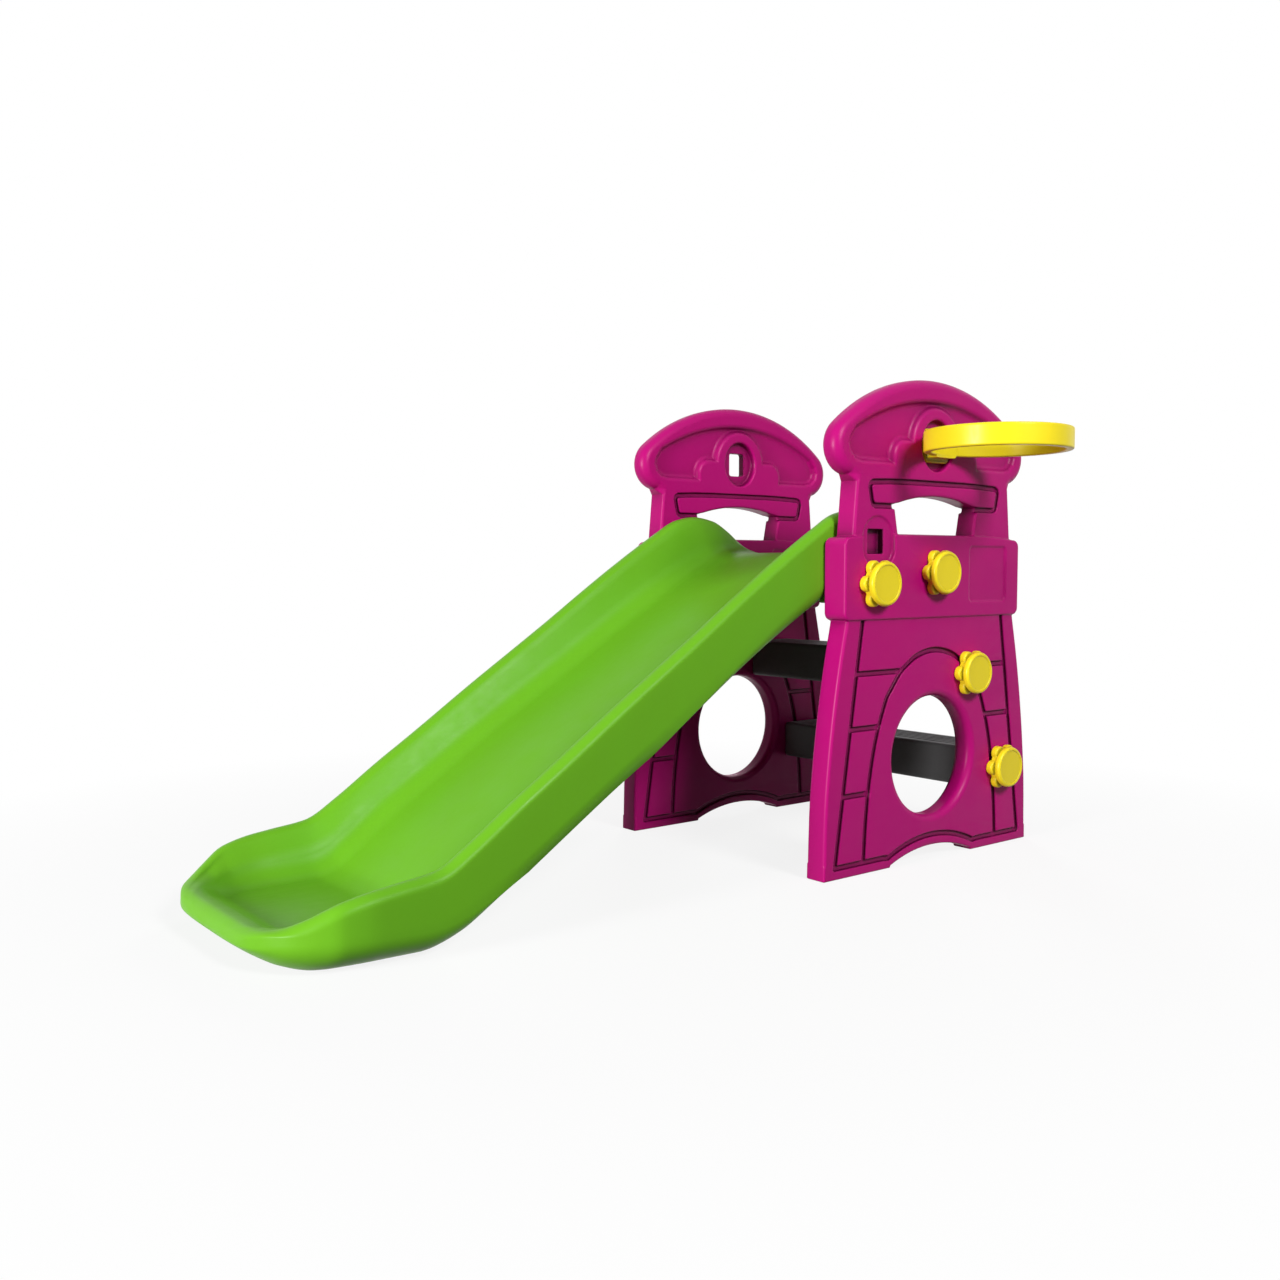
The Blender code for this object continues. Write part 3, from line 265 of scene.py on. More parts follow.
# Studio. From the near to the far distance the floor's own shade gives way to white.
AIR_LIGHT = 0.05
FLOOR_REACH = 30.0
FLOOR_DROP = 0.0005
FLOOR_BOUNCE = 0.12
FLOOR_SHOWN = 0.90
FLOOR_NEAR = 0.9
FLOOR_FAR = 1.9
FLOOR_NEAR_WHITE = 0.86
LAMP_AIM = (0.0, 0.0, 0.4)
SIDE_LAMP_PLACE = (-5.3, -0.4, 1.1)
SIDE_LAMP_SIZE = 1.4
SIDE_LAMP_POWER = 315.0
FRONT_LAMP_PLACE = (-0.05, -4.19, 3.12)
FRONT_LAMP_SIZE = 1.4
FRONT_LAMP_POWER = 182.0
BACK_LAMP_PLACE = (3.4, 3.6, 1.8)
BACK_LAMP_SIZE = 1.6
BACK_LAMP_POWER = 100.0

# The photograph's camera
CAMERA_PLACE = (-1.9704, -1.8565, 0.5862)
CAMERA_YAW = 38.286
CAMERA_PITCH = -3.446
CAMERA_LENS = 34.58
CAMERA_SENSOR = 36


def middle(node):
    """The middle of the box round a CAD node."""
    low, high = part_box(node)
    return (low + high) / 2


# Where the panels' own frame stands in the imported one
SLIDE_X = middle("left_side_panel").x
SLIDE_Y = middle("chute").y
CHUTE_HALF = (middle("right_side_panel").y - SLIDE_Y) - BAND_DEEP - GAP
KNOBS = {joint["child"]: joint for joint in frame["joints"] if joint["type"] == "hinge"}


def knob_places():
    """X and Z of each knob on a panel, about the panel's middle."""
    hinges = [joint["pos_m"] for joint in KNOBS.values() if joint["axis"][1] < 0]
    return [(place[0] - SLIDE_X, place[2]) for place in hinges]


# Curves and outlines


def eased(points, x):
    """A smooth curve through (x, value) points that never overshoots them."""
    places = np.array([point[0] for point in points])
    values = np.array([point[1] for point in points])
    steps = np.diff(values) / np.diff(places)
    slopes = np.zeros(len(points))
    slopes[0] = steps[0]
    slopes[-1] = steps[-1]
    for i in range(1, len(points) - 1):
        if steps[i - 1] * steps[i] > 0:
            slopes[i] = 2 * steps[i - 1] * steps[i] / (steps[i - 1] + steps[i])
    i = int(np.clip(np.searchsorted(places, x) - 1, 0, len(points) - 2))
    wide = places[i + 1] - places[i]
    t = (x - places[i]) / wide
    first = values[i] * (1 + 2 * t) * (1 - t) ** 2 + slopes[i] * wide * t * (1 - t) ** 2
    second = values[i + 1] * t * t * (3 - 2 * t) + slopes[i + 1] * wide * t * t * (t - 1)
    return float(first + second)


def arc(centre_x, centre_z, radius, start, end, steps):
    """Points along part of a circle, from one angle to another in degrees."""
    turns = [math.radians(start + (end - start) * i / steps) for i in range(steps + 1)]
    return [(centre_x + radius * math.cos(t), centre_z + radius * math.sin(t)) for t in turns]


def mirrored(half):
    """A right half outline, from the bottom up, made whole."""
    return half + [(-x, z) for x, z in reversed(half) if abs(x) > 0.00001]


def base_outline():
    """The lower body of a panel with its flaring sides, up to where it is sunk behind the band."""
    top = BASE_SUNK_SHARE * BAND_LOW
    rise = BASE_ARCH_RISE - BASE_ARCH_STEP
    radius = (BASE_ARCH_HALF**2 + rise**2) / (2 * rise)
    span = math.degrees(math.asin(BASE_ARCH_HALF / radius))
    arch = arc(0, BASE_ARCH_RISE - radius, radius, 90, 90 - span, 16) + [(BASE_ARCH_HALF, 0.0)]
    sides = []
    for i in range(25):
        z = top * i / 24
        sides.append((FOOT_HALF + (WAIST_HALF - FOOT_HALF) * eased(FLARE, z / BAND_LOW), z))
    return mirrored(arch + sides)


def band_outline():
    """The proud band round a panel, whose top edge falls a little towards its ends."""
    side = BAND_HALF - BAND_CORNER
    half = arc(side, BAND_LOW + BAND_CORNER, BAND_CORNER, -90, 0, 10)
    half += arc(side, BAND_SHOULDER - BAND_CORNER, BAND_CORNER, 0, 84, 10)
    fall = BAND_TOP - BAND_SHOULDER
    for share in (0.75, 0.5, 0.25):
        x = WINDOW_LOW_HALF + share * (side - WINDOW_LOW_HALF)
        half.append((x, BAND_TOP - 0.9 * fall * share**1.7))
    return mirrored(half + [(WINDOW_LOW_HALF, BAND_TOP)])


def head_outline():
    """The neck and the arched cap of a panel, from where the neck is sunk behind the band."""
    low = BAND_TOP - NECK_SUNK
    lean = (NECK_LOW_HALF - NECK_TOP_HALF) / (NECK_TOP - BAND_TOP)
    turn = math.radians(CAP_CORNER_ANGLE)
    reach = CAP_RADIUS - CAP_CORNER_RADIUS
    low_centre = PANEL_HEIGHT - CAP_RADIUS
    corner_x = reach * math.sin(turn)
    corner_z = low_centre + reach * math.cos(turn)
    half = [(NECK_LOW_HALF + lean * (BAND_TOP - low), low), (NECK_TOP_HALF, NECK_TOP - 0.006)]
    half += [(NECK_TOP_HALF + 0.008, NECK_TOP + 0.001)]
    half += arc(corner_x, corner_z, CAP_CORNER_RADIUS, -76, 90 - CAP_CORNER_ANGLE, 24)
    half += arc(0, low_centre, CAP_RADIUS, 90 - CAP_CORNER_ANGLE, 90, 30)[1:]
    return mirrored(half)


def cap_recess_outline():
    """The sunk field of the cap, which goes round the raised hoop mount."""
    low_centre = CAP_RECESS_TOP - CAP_RECESS_RADIUS
    span = math.degrees(math.asin(CAP_RECESS_HALF / CAP_RECESS_RADIUS))
    corner = math.radians(90 - span)
    end_x = CAP_RECESS_RADIUS * math.cos(corner)
    end_z = low_centre + CAP_RECESS_RADIUS * math.sin(corner)
    outer = [(BOSS_LOW_HALF, CAP_RECESS_LOW), (CAP_RECESS_HALF - 0.018, CAP_RECESS_LOW)]
    outer += [(CAP_RECESS_HALF, CAP_RECESS_LOW + 0.004), *CAP_RECESS_END, (end_x, end_z)]
    outer += arc(0, low_centre, CAP_RECESS_RADIUS, 90 - span, 90, 24)[1:]
    shoulder_x = BOSS_LOW_HALF - BOSS_LOW_ROUND
    shoulder = arc(shoulder_x, BOSS_LOW_TOP - BOSS_LOW_ROUND, BOSS_LOW_ROUND, 0, 90, 10)
    rise = math.degrees(math.asin((BOSS_LOW_TOP - MOUNT_Z) / BOSS_RADIUS))
    inner = shoulder + arc(0, MOUNT_Z, BOSS_RADIUS, rise, 90, 24)
    left_outer = [(-x, z) for x, z in reversed(outer) if x > 0.00001]
    left_inner = [(-x, z) for x, z in inner if x > 0.00001]
    return outer + left_outer + left_inner + list(reversed(inner))


def window_outline():
    """The opening between the band and the bar that hands hold."""
    rise = WINDOW_TOP - WINDOW_CORNER_Z
    radius = (WINDOW_TOP_HALF**2 + rise**2) / (2 * rise)
    span = math.degrees(math.asin(WINDOW_TOP_HALF / radius))
    half = [(WINDOW_LOW_HALF, BAND_TOP)]
    half += arc(0, WINDOW_TOP - radius, radius, 90 - span, 90, 12)
    return mirrored(half)


def niche_outline():
    """The shallow niche in the band, with an arched top and round lower corners."""
    side = NICHE_HALF - NICHE_LOW_CORNER
    corner_z = NICHE_LOW + NICHE_LOW_CORNER
    outline = arc(NICHE_X - side, corner_z, NICHE_LOW_CORNER, 180, 270, 12)
    outline += arc(NICHE_X + side, corner_z, NICHE_LOW_CORNER, -90, 0, 12)
    return outline + arc(NICHE_X, NICHE_TOP - NICHE_HALF, NICHE_HALF, 0, 180, 24)


def side_line(z):
    """Where the line along the edge of the lower body is at a height."""
    return SIDE_LINE_LOW - (z - BORDER_LOW) * (SIDE_LINE_LOW - SIDE_LINE_TOP) / (BAND_LOW - 0.040)


# Right half of the arched line over the crawl hole
ARCH_LINE = (
    (0.205, 0.024), (0.200, 0.100), (0.190, 0.180), (0.173, 0.256), (0.147, 0.325), (0.131, 0.3485),
    (0.104, 0.380), (0.085, 0.3935), (0.062, 0.407), (0.032, 0.4165), (0.0, 0.420),
)


def flowing(points, steps):
    """A smooth path through some points."""
    points = np.array(points)
    outer = np.vstack([2 * points[0] - points[1], points, 2 * points[-1] - points[-2]])
    path = []
    for before, first, second, after in zip(outer, outer[1:], outer[2:], outer[3:]):
        for t in np.arange(steps) / steps:
            bend = 2 * before - 5 * first + 4 * second - after
            twist = 3 * first - before - 3 * second + after
            path.append(tuple(first + 0.5 * t * (second - before + t * (bend + t * twist))))
    return path + [tuple(points[-1])]


def arch_lines():
    """The arched line over the crawl hole, left out round the seat of a knob."""
    parts = [[]]
    for point in flowing(mirrored(list(ARCH_LINE)), 6):
        if min(math.dist(point, hole) for hole in knob_places()) > KNOB_SEAT_CLEAR:
            parts[-1].append(point)
        elif parts[-1]:
            parts.append([])
    return [part for part in parts if len(part) > 1]


def brick_line(way, z):
    """A level line from the side line to the arched line, left out round the seat of a knob."""
    end = float(np.interp(z, [point[1] for point in ARCH_LINE], [point[0] for point in ARCH_LINE]))
    for hole_x, hole_z in knob_places():
        if way > 0 and abs(z - hole_z) < KNOB_SEAT_CLEAR:
            end = max(end, hole_x + KNOB_SEAT_CLEAR)
    return [(way * side_line(z), z), (way * end, z)]


def base_lines():
    """Every line pressed into a face of the lower body."""
    radius = (BASE_ARCH_HALF**2 + BASE_ARCH_RISE**2) / (2 * BASE_ARCH_RISE)
    over = radius + BASE_LINE_UP
    span = math.degrees(math.asin((BASE_ARCH_HALF + 0.006) / over))
    foot = arc(0, BASE_ARCH_RISE - radius, over, 90 - span, 90, 14)
    top = BAND_LOW + 0.02
    border = [(side_line(top), top), (side_line(BORDER_LOW), BORDER_LOW)]
    border += [(BASE_ARCH_HALF + 0.020, BORDER_LOW)] + foot
    bricks = [brick_line(way, z) for z in BRICK_Z for way in (-1, 1)]
    return [mirrored(border)] + arch_lines() + bricks


def head_lines():
    """The line round the bar over the window."""
    bar = [(WINDOW_TOP_HALF - 0.010, 0.700), (0.181, 0.700), (0.188, 0.7025), (0.191, 0.709)]
    bar += [(0.1965, 0.7340), (0.1950, 0.7405), (0.188, 0.7442), (0.140, 0.7465), (0.085, 0.7475)]
    return [mirrored(bar)]


# Distances, all negative inside a shape


def inside_outline(outline, x, z):
    """Distance to a closed outline in X and Z."""
    closest = np.full(np.broadcast(x, z).shape, 1.0)
    inside = np.zeros(closest.shape, bool)
    for (x0, z0), (x1, z1) in zip(outline, outline[1:] + outline[:1]):
        ex, ez = x1 - x0, z1 - z0
        along = np.clip(((x - x0) * ex + (z - z0) * ez) / (ex * ex + ez * ez + 1e-18), 0, 1)
        closest = np.minimum(closest, (x - x0 - ex * along) ** 2 + (z - z0 - ez * along) ** 2)
        if z0 != z1:
            inside ^= ((z0 > z) != (z1 > z)) & (x < x0 + ex * (z - z0) / ez)
    return np.where(inside, -1, 1) * np.sqrt(closest)


def from_lines(paths, x, z):
    """Distance to the nearest of some open paths in X and Z."""
    closest = np.full(np.broadcast(x, z).shape, 1.0)
    for path in paths:
        for (x0, z0), (x1, z1) in zip(path, path[1:]):
            ex, ez = x1 - x0, z1 - z0
            along = np.clip(((x - x0) * ex + (z - z0) * ez) / (ex * ex + ez * ez), 0, 1)
            closest = np.minimum(closest, (x - x0 - ex * along) ** 2 + (z - z0 - ez * along) ** 2)
    return np.sqrt(closest)


def inside_box(x, z, half_x, half_z, corner):
    """Distance to an upright rectangle with round corners, about its middle."""
    out_x = np.abs(x) - half_x + corner
    out_z = np.abs(z) - half_z + corner
    outside = np.hypot(np.maximum(out_x, 0), np.maximum(out_z, 0))
    return outside + np.minimum(np.maximum(out_x, out_z), 0) - corner


def between(value, low, high):
    """Distance to the slab from one level to another."""
    return np.maximum(low - value, value - high)


def both(first, second, rounding):
    """What two shapes share, with the edge between them rounded."""
    corner = np.hypot(np.maximum(first + rounding, 0), np.maximum(second + rounding, 0))
    return np.minimum(np.maximum(first, second), -rounding) + corner


def either(first, second, rounding):
    """Two shapes made one, with a fillet where they meet."""
    return -both(-first, -second, rounding)


def without(solid, hollow, rounding):
    """A shape with another cut from it, and the edge of the cut rounded."""
    return both(solid, -hollow, rounding)


def pressed(solid, y, region, face, depth, edges):
    """A field pressed into a face, with leaning walls and soft edges.

    Region is the distance to the field's outline.
    """
    draft, mouth, floor = edges
    wall = region + draft * (face - y) / depth
    return without(solid, both(wall, face - depth - y, floor), mouth)


def grooved(solid, samples, paths):
    """Lines pressed into the face of a panel's body or head."""
    line = from_lines(paths, samples.x, samples.z) - GROOVE_WIDTH / 2
    return pressed(solid, samples.y, line, BODY_HALF, GROOVE_DEPTH, GROOVE_EDGES)


def socket_seat(from_axis, deep):
    """The stepped hole that takes a socket, by the distance from its axis and the depth under its face."""
    seat = np.maximum(from_axis - SOCKET_RADIUS - GAP, deep - SOCKET_LONG - GAP)
    collar = np.maximum(from_axis - SOCKET_COLLAR_RADIUS - GAP, deep - SOCKET_COLLAR_THICK - GAP)
    return np.minimum(seat, collar)


# Meshes from sampled distances


class Samples:
    """Distances on a grid of points, and the surface where they pass zero."""

    def __init__(self, low, high, cell):
        counts = [int(math.ceil((top - bottom) / cell)) + 3 for bottom, top in zip(low, high)]
        self.cell = cell
        self.low = np.array(low, float) - cell
        self.x = (self.low[0] + cell * np.arange(counts[0]))[:, None, None]
        self.y = (self.low[1] + cell * np.arange(counts[1]))[None, :, None]
        self.z = (self.low[2] + cell * np.arange(counts[2]))[None, None, :]

    def surface(self, values):
        """Vertices, one in each cell that the surface crosses, and quads between them."""
        inside = values < 0
        counts = np.array(values.shape)
        corners = np.array([(i, j, k) for i in (0, 1) for j in (0, 1) for k in (0, 1)])
        held = np.zeros(counts - 1, np.int8)
        for i, j, k in corners:
            held += inside[i : i + counts[0] - 1, j : j + counts[1] - 1, k : k + counts[2] - 1]
        crossed = (held > 0) & (held < 8)
        cells = np.argwhere(crossed)
        number = np.full(crossed.shape, -1, np.int64)
        number[crossed] = np.arange(len(cells))
        at_corner = np.stack([values[tuple((cells + corner).T)] for corner in corners], axis=1)
        total = np.zeros((len(cells), 3))
        found = np.zeros(len(cells))
        for first in range(8):
            for second in range(first + 1, 8):
                step = corners[second] - corners[first]
                if np.abs(step).sum() != 1:
                    continue
                here, there = at_corner[:, first], at_corner[:, second]
                cut = (here < 0) != (there < 0)
                share = np.where(cut, here / np.where(cut, here - there, 1), 0)
                total += cut[:, None] * (corners[first] + share[:, None] * step)
                found += cut
        vertices = self.low + self.cell * (cells + total / found[:, None])
        return vertices, np.concatenate([self.quads(inside, number, axis) for axis in range(3)])

    def quads(self, inside, number, axis):
        """One quad for each grid edge along an axis that the surface crosses."""
        along, across, up = np.roll(np.eye(3, dtype=int), -axis, axis=0)
        ends = np.moveaxis(inside, axis, 0)
        changes = np.moveaxis(ends[1:] != ends[:-1], 0, axis)
        edges = np.argwhere(changes)
        edges = edges[(edges[:, (axis + 1) % 3] > 0) & (edges[:, (axis + 2) % 3] > 0)]
        shifts = (-across - up, -up, 0 * up, -across)
        found = np.stack([number[tuple((edges + shift).T)] for shift in shifts], axis=1)
        outwards = inside[tuple(edges.T)]
        found[~outwards] = found[~outwards][:, ::-1]
        return found

    def at(self, values, points):
        """Distances between the grid's points."""
        place = (points - self.low) / self.cell
        base = np.clip(np.floor(place).astype(int), 0, np.array(values.shape) - 2)
        share = place - base
        total = np.zeros(len(points))
        for corner in np.ndindex(2, 2, 2):
            weight = np.prod(np.abs(1 - np.array(corner) - share), axis=1)
            total += weight * values[tuple((base + corner).T)]
        return total

    def normals(self, values, points):
        """The way out of the shape at some points, from the distances on both sides of each."""
        slopes = []
        for axis in 0.75 * self.cell * np.eye(3):
            slopes.append(self.at(values, points + axis) - self.at(values, points - axis))
        slopes = np.stack(slopes, axis=1)
        return slopes / np.maximum(np.linalg.norm(slopes, axis=1), 1e-9)[:, None]


def mesh_from(name, vertices, faces):
    mesh = bpy.data.meshes.new(name)
    mesh.from_pydata(vertices.tolist(), [], [list(face) for face in faces.tolist()])
    mesh.update()
    return mesh


def moulded_mesh(name, samples, values, keep):
    """The surface of sampled distances, thinned to a share of its faces, with normals of its own."""
    full = bpy.data.objects.new(name + "_full", mesh_from(name + "_full", *samples.surface(values)))
    bpy.context.scene.collection.objects.link(full)
    thinning = full.modifiers.new("Thinning", "DECIMATE")
    thinning.ratio = keep
    bpy.context.view_layer.update()
    graph = bpy.context.evaluated_depsgraph_get()
    mesh = bpy.data.meshes.new_from_object(full.evaluated_get(graph))
    mesh.name = name
    bpy.data.objects.remove(full, do_unlink=True)
    mesh.shade_smooth()
    points = np.array([vertex.co for vertex in mesh.vertices])
    mesh.normals_split_custom_set_from_vertices(samples.normals(values, points).tolist())
    return mesh


def piece(name, mesh, material, body, node, place=(0, 0, 0), turn=0.0):
    """A piece that stands for a CAD node and rides on its body."""
    made = bpy.data.objects.new(name, mesh)
    bpy.context.scene.collection.objects.link(made)
    if not mesh.materials:
        mesh.materials.append(material)
    made.location = place
    made.rotation_euler = (0, 0, turn)
    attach(made, body)
    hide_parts(node)
    return made


# Materials


def node(tree, kind, **settings):
    made = tree.nodes.new(kind)
    for name, value in settings.items():
        setattr(made, name, value)
    return made


def noise(tree, place, scale, detail, roughness=0.5):
    made = node(tree, "ShaderNodeTexNoise")
    made.inputs["Scale"].default_value = scale
    made.inputs["Detail"].default_value = detail
    made.inputs["Roughness"].default_value = roughness
    tree.links.new(place, made.inputs["Vector"])
    return made.outputs["Fac"]


def stretched(tree, place, scales):
    """Coordinates that run slower along one axis, for flow marks and rubbed lines."""
    made = node(tree, "ShaderNodeMapping")
    made.inputs["Scale"].default_value = scales
    tree.links.new(place, made.inputs["Vector"])
    return made.outputs["Vector"]


def spread(tree, value, low, high, start=0.3, end=0.7):
    """A value between start and end, as a noise mostly is, laid over the range from low to high."""
    made = node(tree, "ShaderNodeMapRange")
    made.inputs["From Min"].default_value = start
    made.inputs["From Max"].default_value = end
    made.inputs["To Min"].default_value = low
    made.inputs["To Max"].default_value = high
    tree.links.new(value, made.inputs["Value"])
    return made.outputs["Result"]


def joined(tree, first, second, operation="ADD"):
    """Two values made one, by their sum or another operation."""
    made = node(tree, "ShaderNodeMath", operation=operation)
    tree.links.new(first, made.inputs[0])
    tree.links.new(second, made.inputs[1])
    return made.outputs["Value"]


def mixed(tree, share, first, second):
    """Two shaders laid over each other, by the share of the second."""
    made = node(tree, "ShaderNodeMixShader")
    tree.links.new(share, made.inputs["Fac"])
    tree.links.new(first, made.inputs[1])
    tree.links.new(second, made.inputs[2])
    return made.outputs["Shader"]


def painted_hollow_shade(tree, deepest_painted_shade):
    """Painted shade: a share of the colour that falls from one on open faces to the given one deep in
    grooves and pockets.
    """
    shade = node(tree, "ShaderNodeAmbientOcclusion", samples=6, only_local=True)
    shade.inputs["Distance"].default_value = PAINTED_SHADE_REACH
    return spread(tree, shade.outputs["AO"], deepest_painted_shade, 1.0, 0.5, 1.0)


def moulded_plastic(name, colour, rough, grain, grain_height, shine, swirl, deepest_painted_shade):
    """Through-coloured plastic with faint pigment swirls and a fine moulded grain.

    Its gloss varies with handling, and shade is painted into its colour in grooves and pockets, where
    little light gets in.
    """
    material = bpy.data.materials.new(name)
    material.use_nodes = True
    tree = material.node_tree
    shader = tree.nodes["Principled BSDF"]
    shader.inputs["Specular IOR Level"].default_value = shine
    place = node(tree, "ShaderNodeTexCoord").outputs["Object"]

    flow = noise(tree, stretched(tree, place, (1.0, 1.0, 0.45)), 7.0, 4.0, 0.6)
    specks = noise(tree, place, 160.0, 2.0)
    mottle = joined(tree, spread(tree, flow, -swirl, swirl), spread(tree, specks, -swirl / 3, swirl / 3))
    shift = node(tree, "ShaderNodeHueSaturation")
    shift.inputs["Color"].default_value = (*colour, 1.0)
    mottle = spread(tree, mottle, 1 - swirl, 1 + swirl, -swirl, swirl)
    # Painted shade: the colour is darkened where walls close round it, in grooves and pockets.
    tree.links.new(joined(tree, mottle, painted_hollow_shade(tree, deepest_painted_shade), "MULTIPLY"), shift.inputs["Value"])
    tree.links.new(spread(tree, flow, 0.5 - 0.06 * swirl, 0.5 + 0.06 * swirl), shift.inputs["Hue"])
    tree.links.new(shift.outputs["Color"], shader.inputs["Base Color"])

    handled = noise(tree, place, 16.0, 5.0, 0.65)
    rubbed = noise(tree, stretched(tree, place, (8.0, 140.0, 60.0)), 1.0, 3.0)
    handled = spread(tree, handled, rough - 0.05, rough + 0.07)
    gloss = joined(tree, handled, spread(tree, rubbed, -0.02, 0.03))
    tree.links.new(gloss, shader.inputs["Roughness"])

    fine = noise(tree, place, grain, 3.0, 0.55)
    waves = spread(tree, noise(tree, place, 28.0, 2.0), 0.0, 1.6, 0.0, 1.0)
    skin = joined(tree, fine, waves)
    bump = node(tree, "ShaderNodeBump")
    bump.inputs["Strength"].default_value = 1.0
    bump.inputs["Distance"].default_value = grain_height
    tree.links.new(skin, bump.inputs["Height"])
    tree.links.new(bump.outputs["Normal"], shader.inputs["Normal"])
    return material


# The last setting of each material is how dark its colour is painted, as shade, deep in a groove or pocket;
# the panels' grooves and the hoop's plate and neck under its ring are painted darkest.
PANEL_PLASTIC = moulded_plastic(
    "magenta_panel_plastic", MAGENTA, rough=0.36, grain=420.0, grain_height=0.00007,
    shine=0.15, swirl=0.030, deepest_painted_shade=0.08,
)
CHUTE_PLASTIC = moulded_plastic(
    "green_chute_plastic", GREEN, rough=0.36, grain=380.0, grain_height=0.00006,
    shine=0.12, swirl=0.025, deepest_painted_shade=0.75,
)
KNOB_PLASTIC = moulded_plastic(
    "yellow_knob_plastic", YELLOW, rough=0.33, grain=700.0, grain_height=0.00003,
    shine=0.25, swirl=0.020, deepest_painted_shade=0.55,
)
HOOP_PLASTIC = moulded_plastic(
    "yellow_hoop_plastic", YELLOW, rough=0.33, grain=500.0, grain_height=0.00004,
    shine=0.20, swirl=0.020, deepest_painted_shade=0.12,
)
STEP_PLASTIC = moulded_plastic(
    "dark_step_plastic", DARK_GREY, rough=0.50, grain=520.0, grain_height=0.00012,
    shine=0.15, swirl=0.060, deepest_painted_shade=0.50,
)
SOCKET_PLASTIC = moulded_plastic(
    "pale_socket_plastic", PALE_GREY, rough=0.45, grain=600.0, grain_height=0.00004,
    shine=0.35, swirl=0.040, deepest_painted_shade=0.50,
)


# Side panels


def panel_mesh():
    """One moulded side panel about its own middle. Its two faces are alike, so only one is worked out."""
    samples = Samples((-FOOT_HALF, PANEL_CELL * 1.5, 0.0), (FOOT_HALF, BAND_DEEP, PANEL_HEIGHT), PANEL_CELL)
    x, y, z = samples.x, samples.y, samples.z

    edge = np.where(z < BASE_ARCH_RISE + 0.001, FOOT_ROUND, EDGE_ROUND)
    body = both(inside_outline(base_outline(), x, z), y - BODY_HALF, edge)
    body = grooved(body, samples, base_lines())

    edge = EDGE_ROUND + (CAP_ROUND - EDGE_ROUND) * np.clip((z - NECK_TOP + 0.006) / 0.014, 0, 1)
    head = both(inside_outline(head_outline(), x, z), y - BODY_HALF, edge)
    head = grooved(head, samples, head_lines())
    recess = inside_outline(cap_recess_outline(), x, z)
    head = pressed(head, y, recess, BODY_HALF, CAP_RECESS_DEPTH, CAP_RECESS_EDGES)

    band = both(inside_outline(band_outline(), x, z), y - BAND_DEEP, BAND_ROUND)
    panel = either(np.minimum(body, head), band, BAND_FILLET)

    niche = inside_outline(niche_outline(), x, z)
    panel = pressed(panel, y, niche, BAND_DEEP, NICHE_DEPTH, NICHE_EDGES)
    centre_z = (POCKET_LOW + POCKET_TOP) / 2
    tall = (POCKET_TOP - POCKET_LOW) / 2
    pocket = inside_box(x - POCKET_X, z - centre_z, POCKET_HALF, tall, POCKET_CORNER)
    panel = pressed(panel, y, pocket, BAND_DEEP, POCKET_DEPTH, POCKET_EDGES)
    centre_x = (PLATE_LOW_X + PLATE_HIGH_X) / 2
    centre_z = (PLATE_LOW + PLATE_TOP) / 2
    wide = (PLATE_HIGH_X - PLATE_LOW_X) / 2
    tall = (PLATE_TOP - PLATE_LOW) / 2
    plate = inside_box(x - centre_x, z - centre_z, wide, tall, PLATE_CORNER)
    panel = pressed(panel, y, plate, BAND_DEEP, PLATE_DEPTH, PLATE_EDGES)

    oval = (np.hypot(x / OVAL_HALF, (z - MOUNT_Z) / OVAL_TALL) - 1) * OVAL_HALF
    oval_depth = BODY_HALF - OVAL_WALL / 2
    panel = pressed(panel, y, oval, BODY_HALF, oval_depth, OVAL_EDGES)
    slot = inside_box(x, z - MOUNT_Z, SLOT_HALF, SLOT_HALF_TALL, SLOT_CORNER)
    panel = without(panel, slot, SLOT_ROUND)
    panel = without(panel, inside_outline(window_outline(), x, z), WINDOW_ROUND)
    panel = without(panel, np.hypot(x, z - CRAWL_Z) - CRAWL_RADIUS, CRAWL_BEVEL)
    for hole_x, hole_z in knob_places():
        panel = without(panel, np.hypot(x - hole_x, z - hole_z) - BORE, KNOB_HOLE_ROUND)

    samples.y = np.concatenate([-samples.y[:, ::-1], samples.y], axis=1)
    samples.low[1] = samples.y.min()
    whole = np.concatenate([panel[:, ::-1], panel], axis=1)
    return moulded_mesh("side_panel", samples, whole, PANEL_KEEP)


def add_panels():
    mesh = panel_mesh()
    for hand in ("left", "right"):
        name = hand + "_side_panel"
        place = (SLIDE_X, middle(name).y, 0)
        piece(name + "_moulding", mesh, PANEL_PLASTIC, "frame", name, place)


# Steps


def step_field(samples, low, high, knob, rebate):
    """A step with its tread lines and the seats of its sockets.

    Rebate is where the chute's lip, let into the top step, ends along X, or none.
    """
    x, y, z = samples.x, samples.y, samples.z
    centre = (low + high) / 2
    half = (high - low) / 2
    section = inside_box(x - centre.x, z - centre.z, half.x, half.z, STEP_ROUND)
    end = half.y - np.abs(y - centre.y)
    solid = both(section, -end, STEP_ROUND * STEP_END_SHARE)
    if rebate is not None:
        solid = without(solid, np.maximum(x - rebate, high.z - LIP_THICK - z), STEP_CUT_ROUND)
    for offset in TREAD_LINES:
        at = centre.x + offset
        if rebate is None or at > rebate + 0.006:
            line = np.maximum(np.abs(x - at) - TREAD_LINE_WIDE / 2, TREAD_LINE_END - end)
            solid = without(solid, np.maximum(line, high.z - TREAD_LINE_DEEP - z), STEP_CUT_ROUND)
    from_axis = np.hypot(x - knob[0], z - knob[2])
    return without(solid, socket_seat(from_axis, end), SOCKET_SEAT_ROUND)


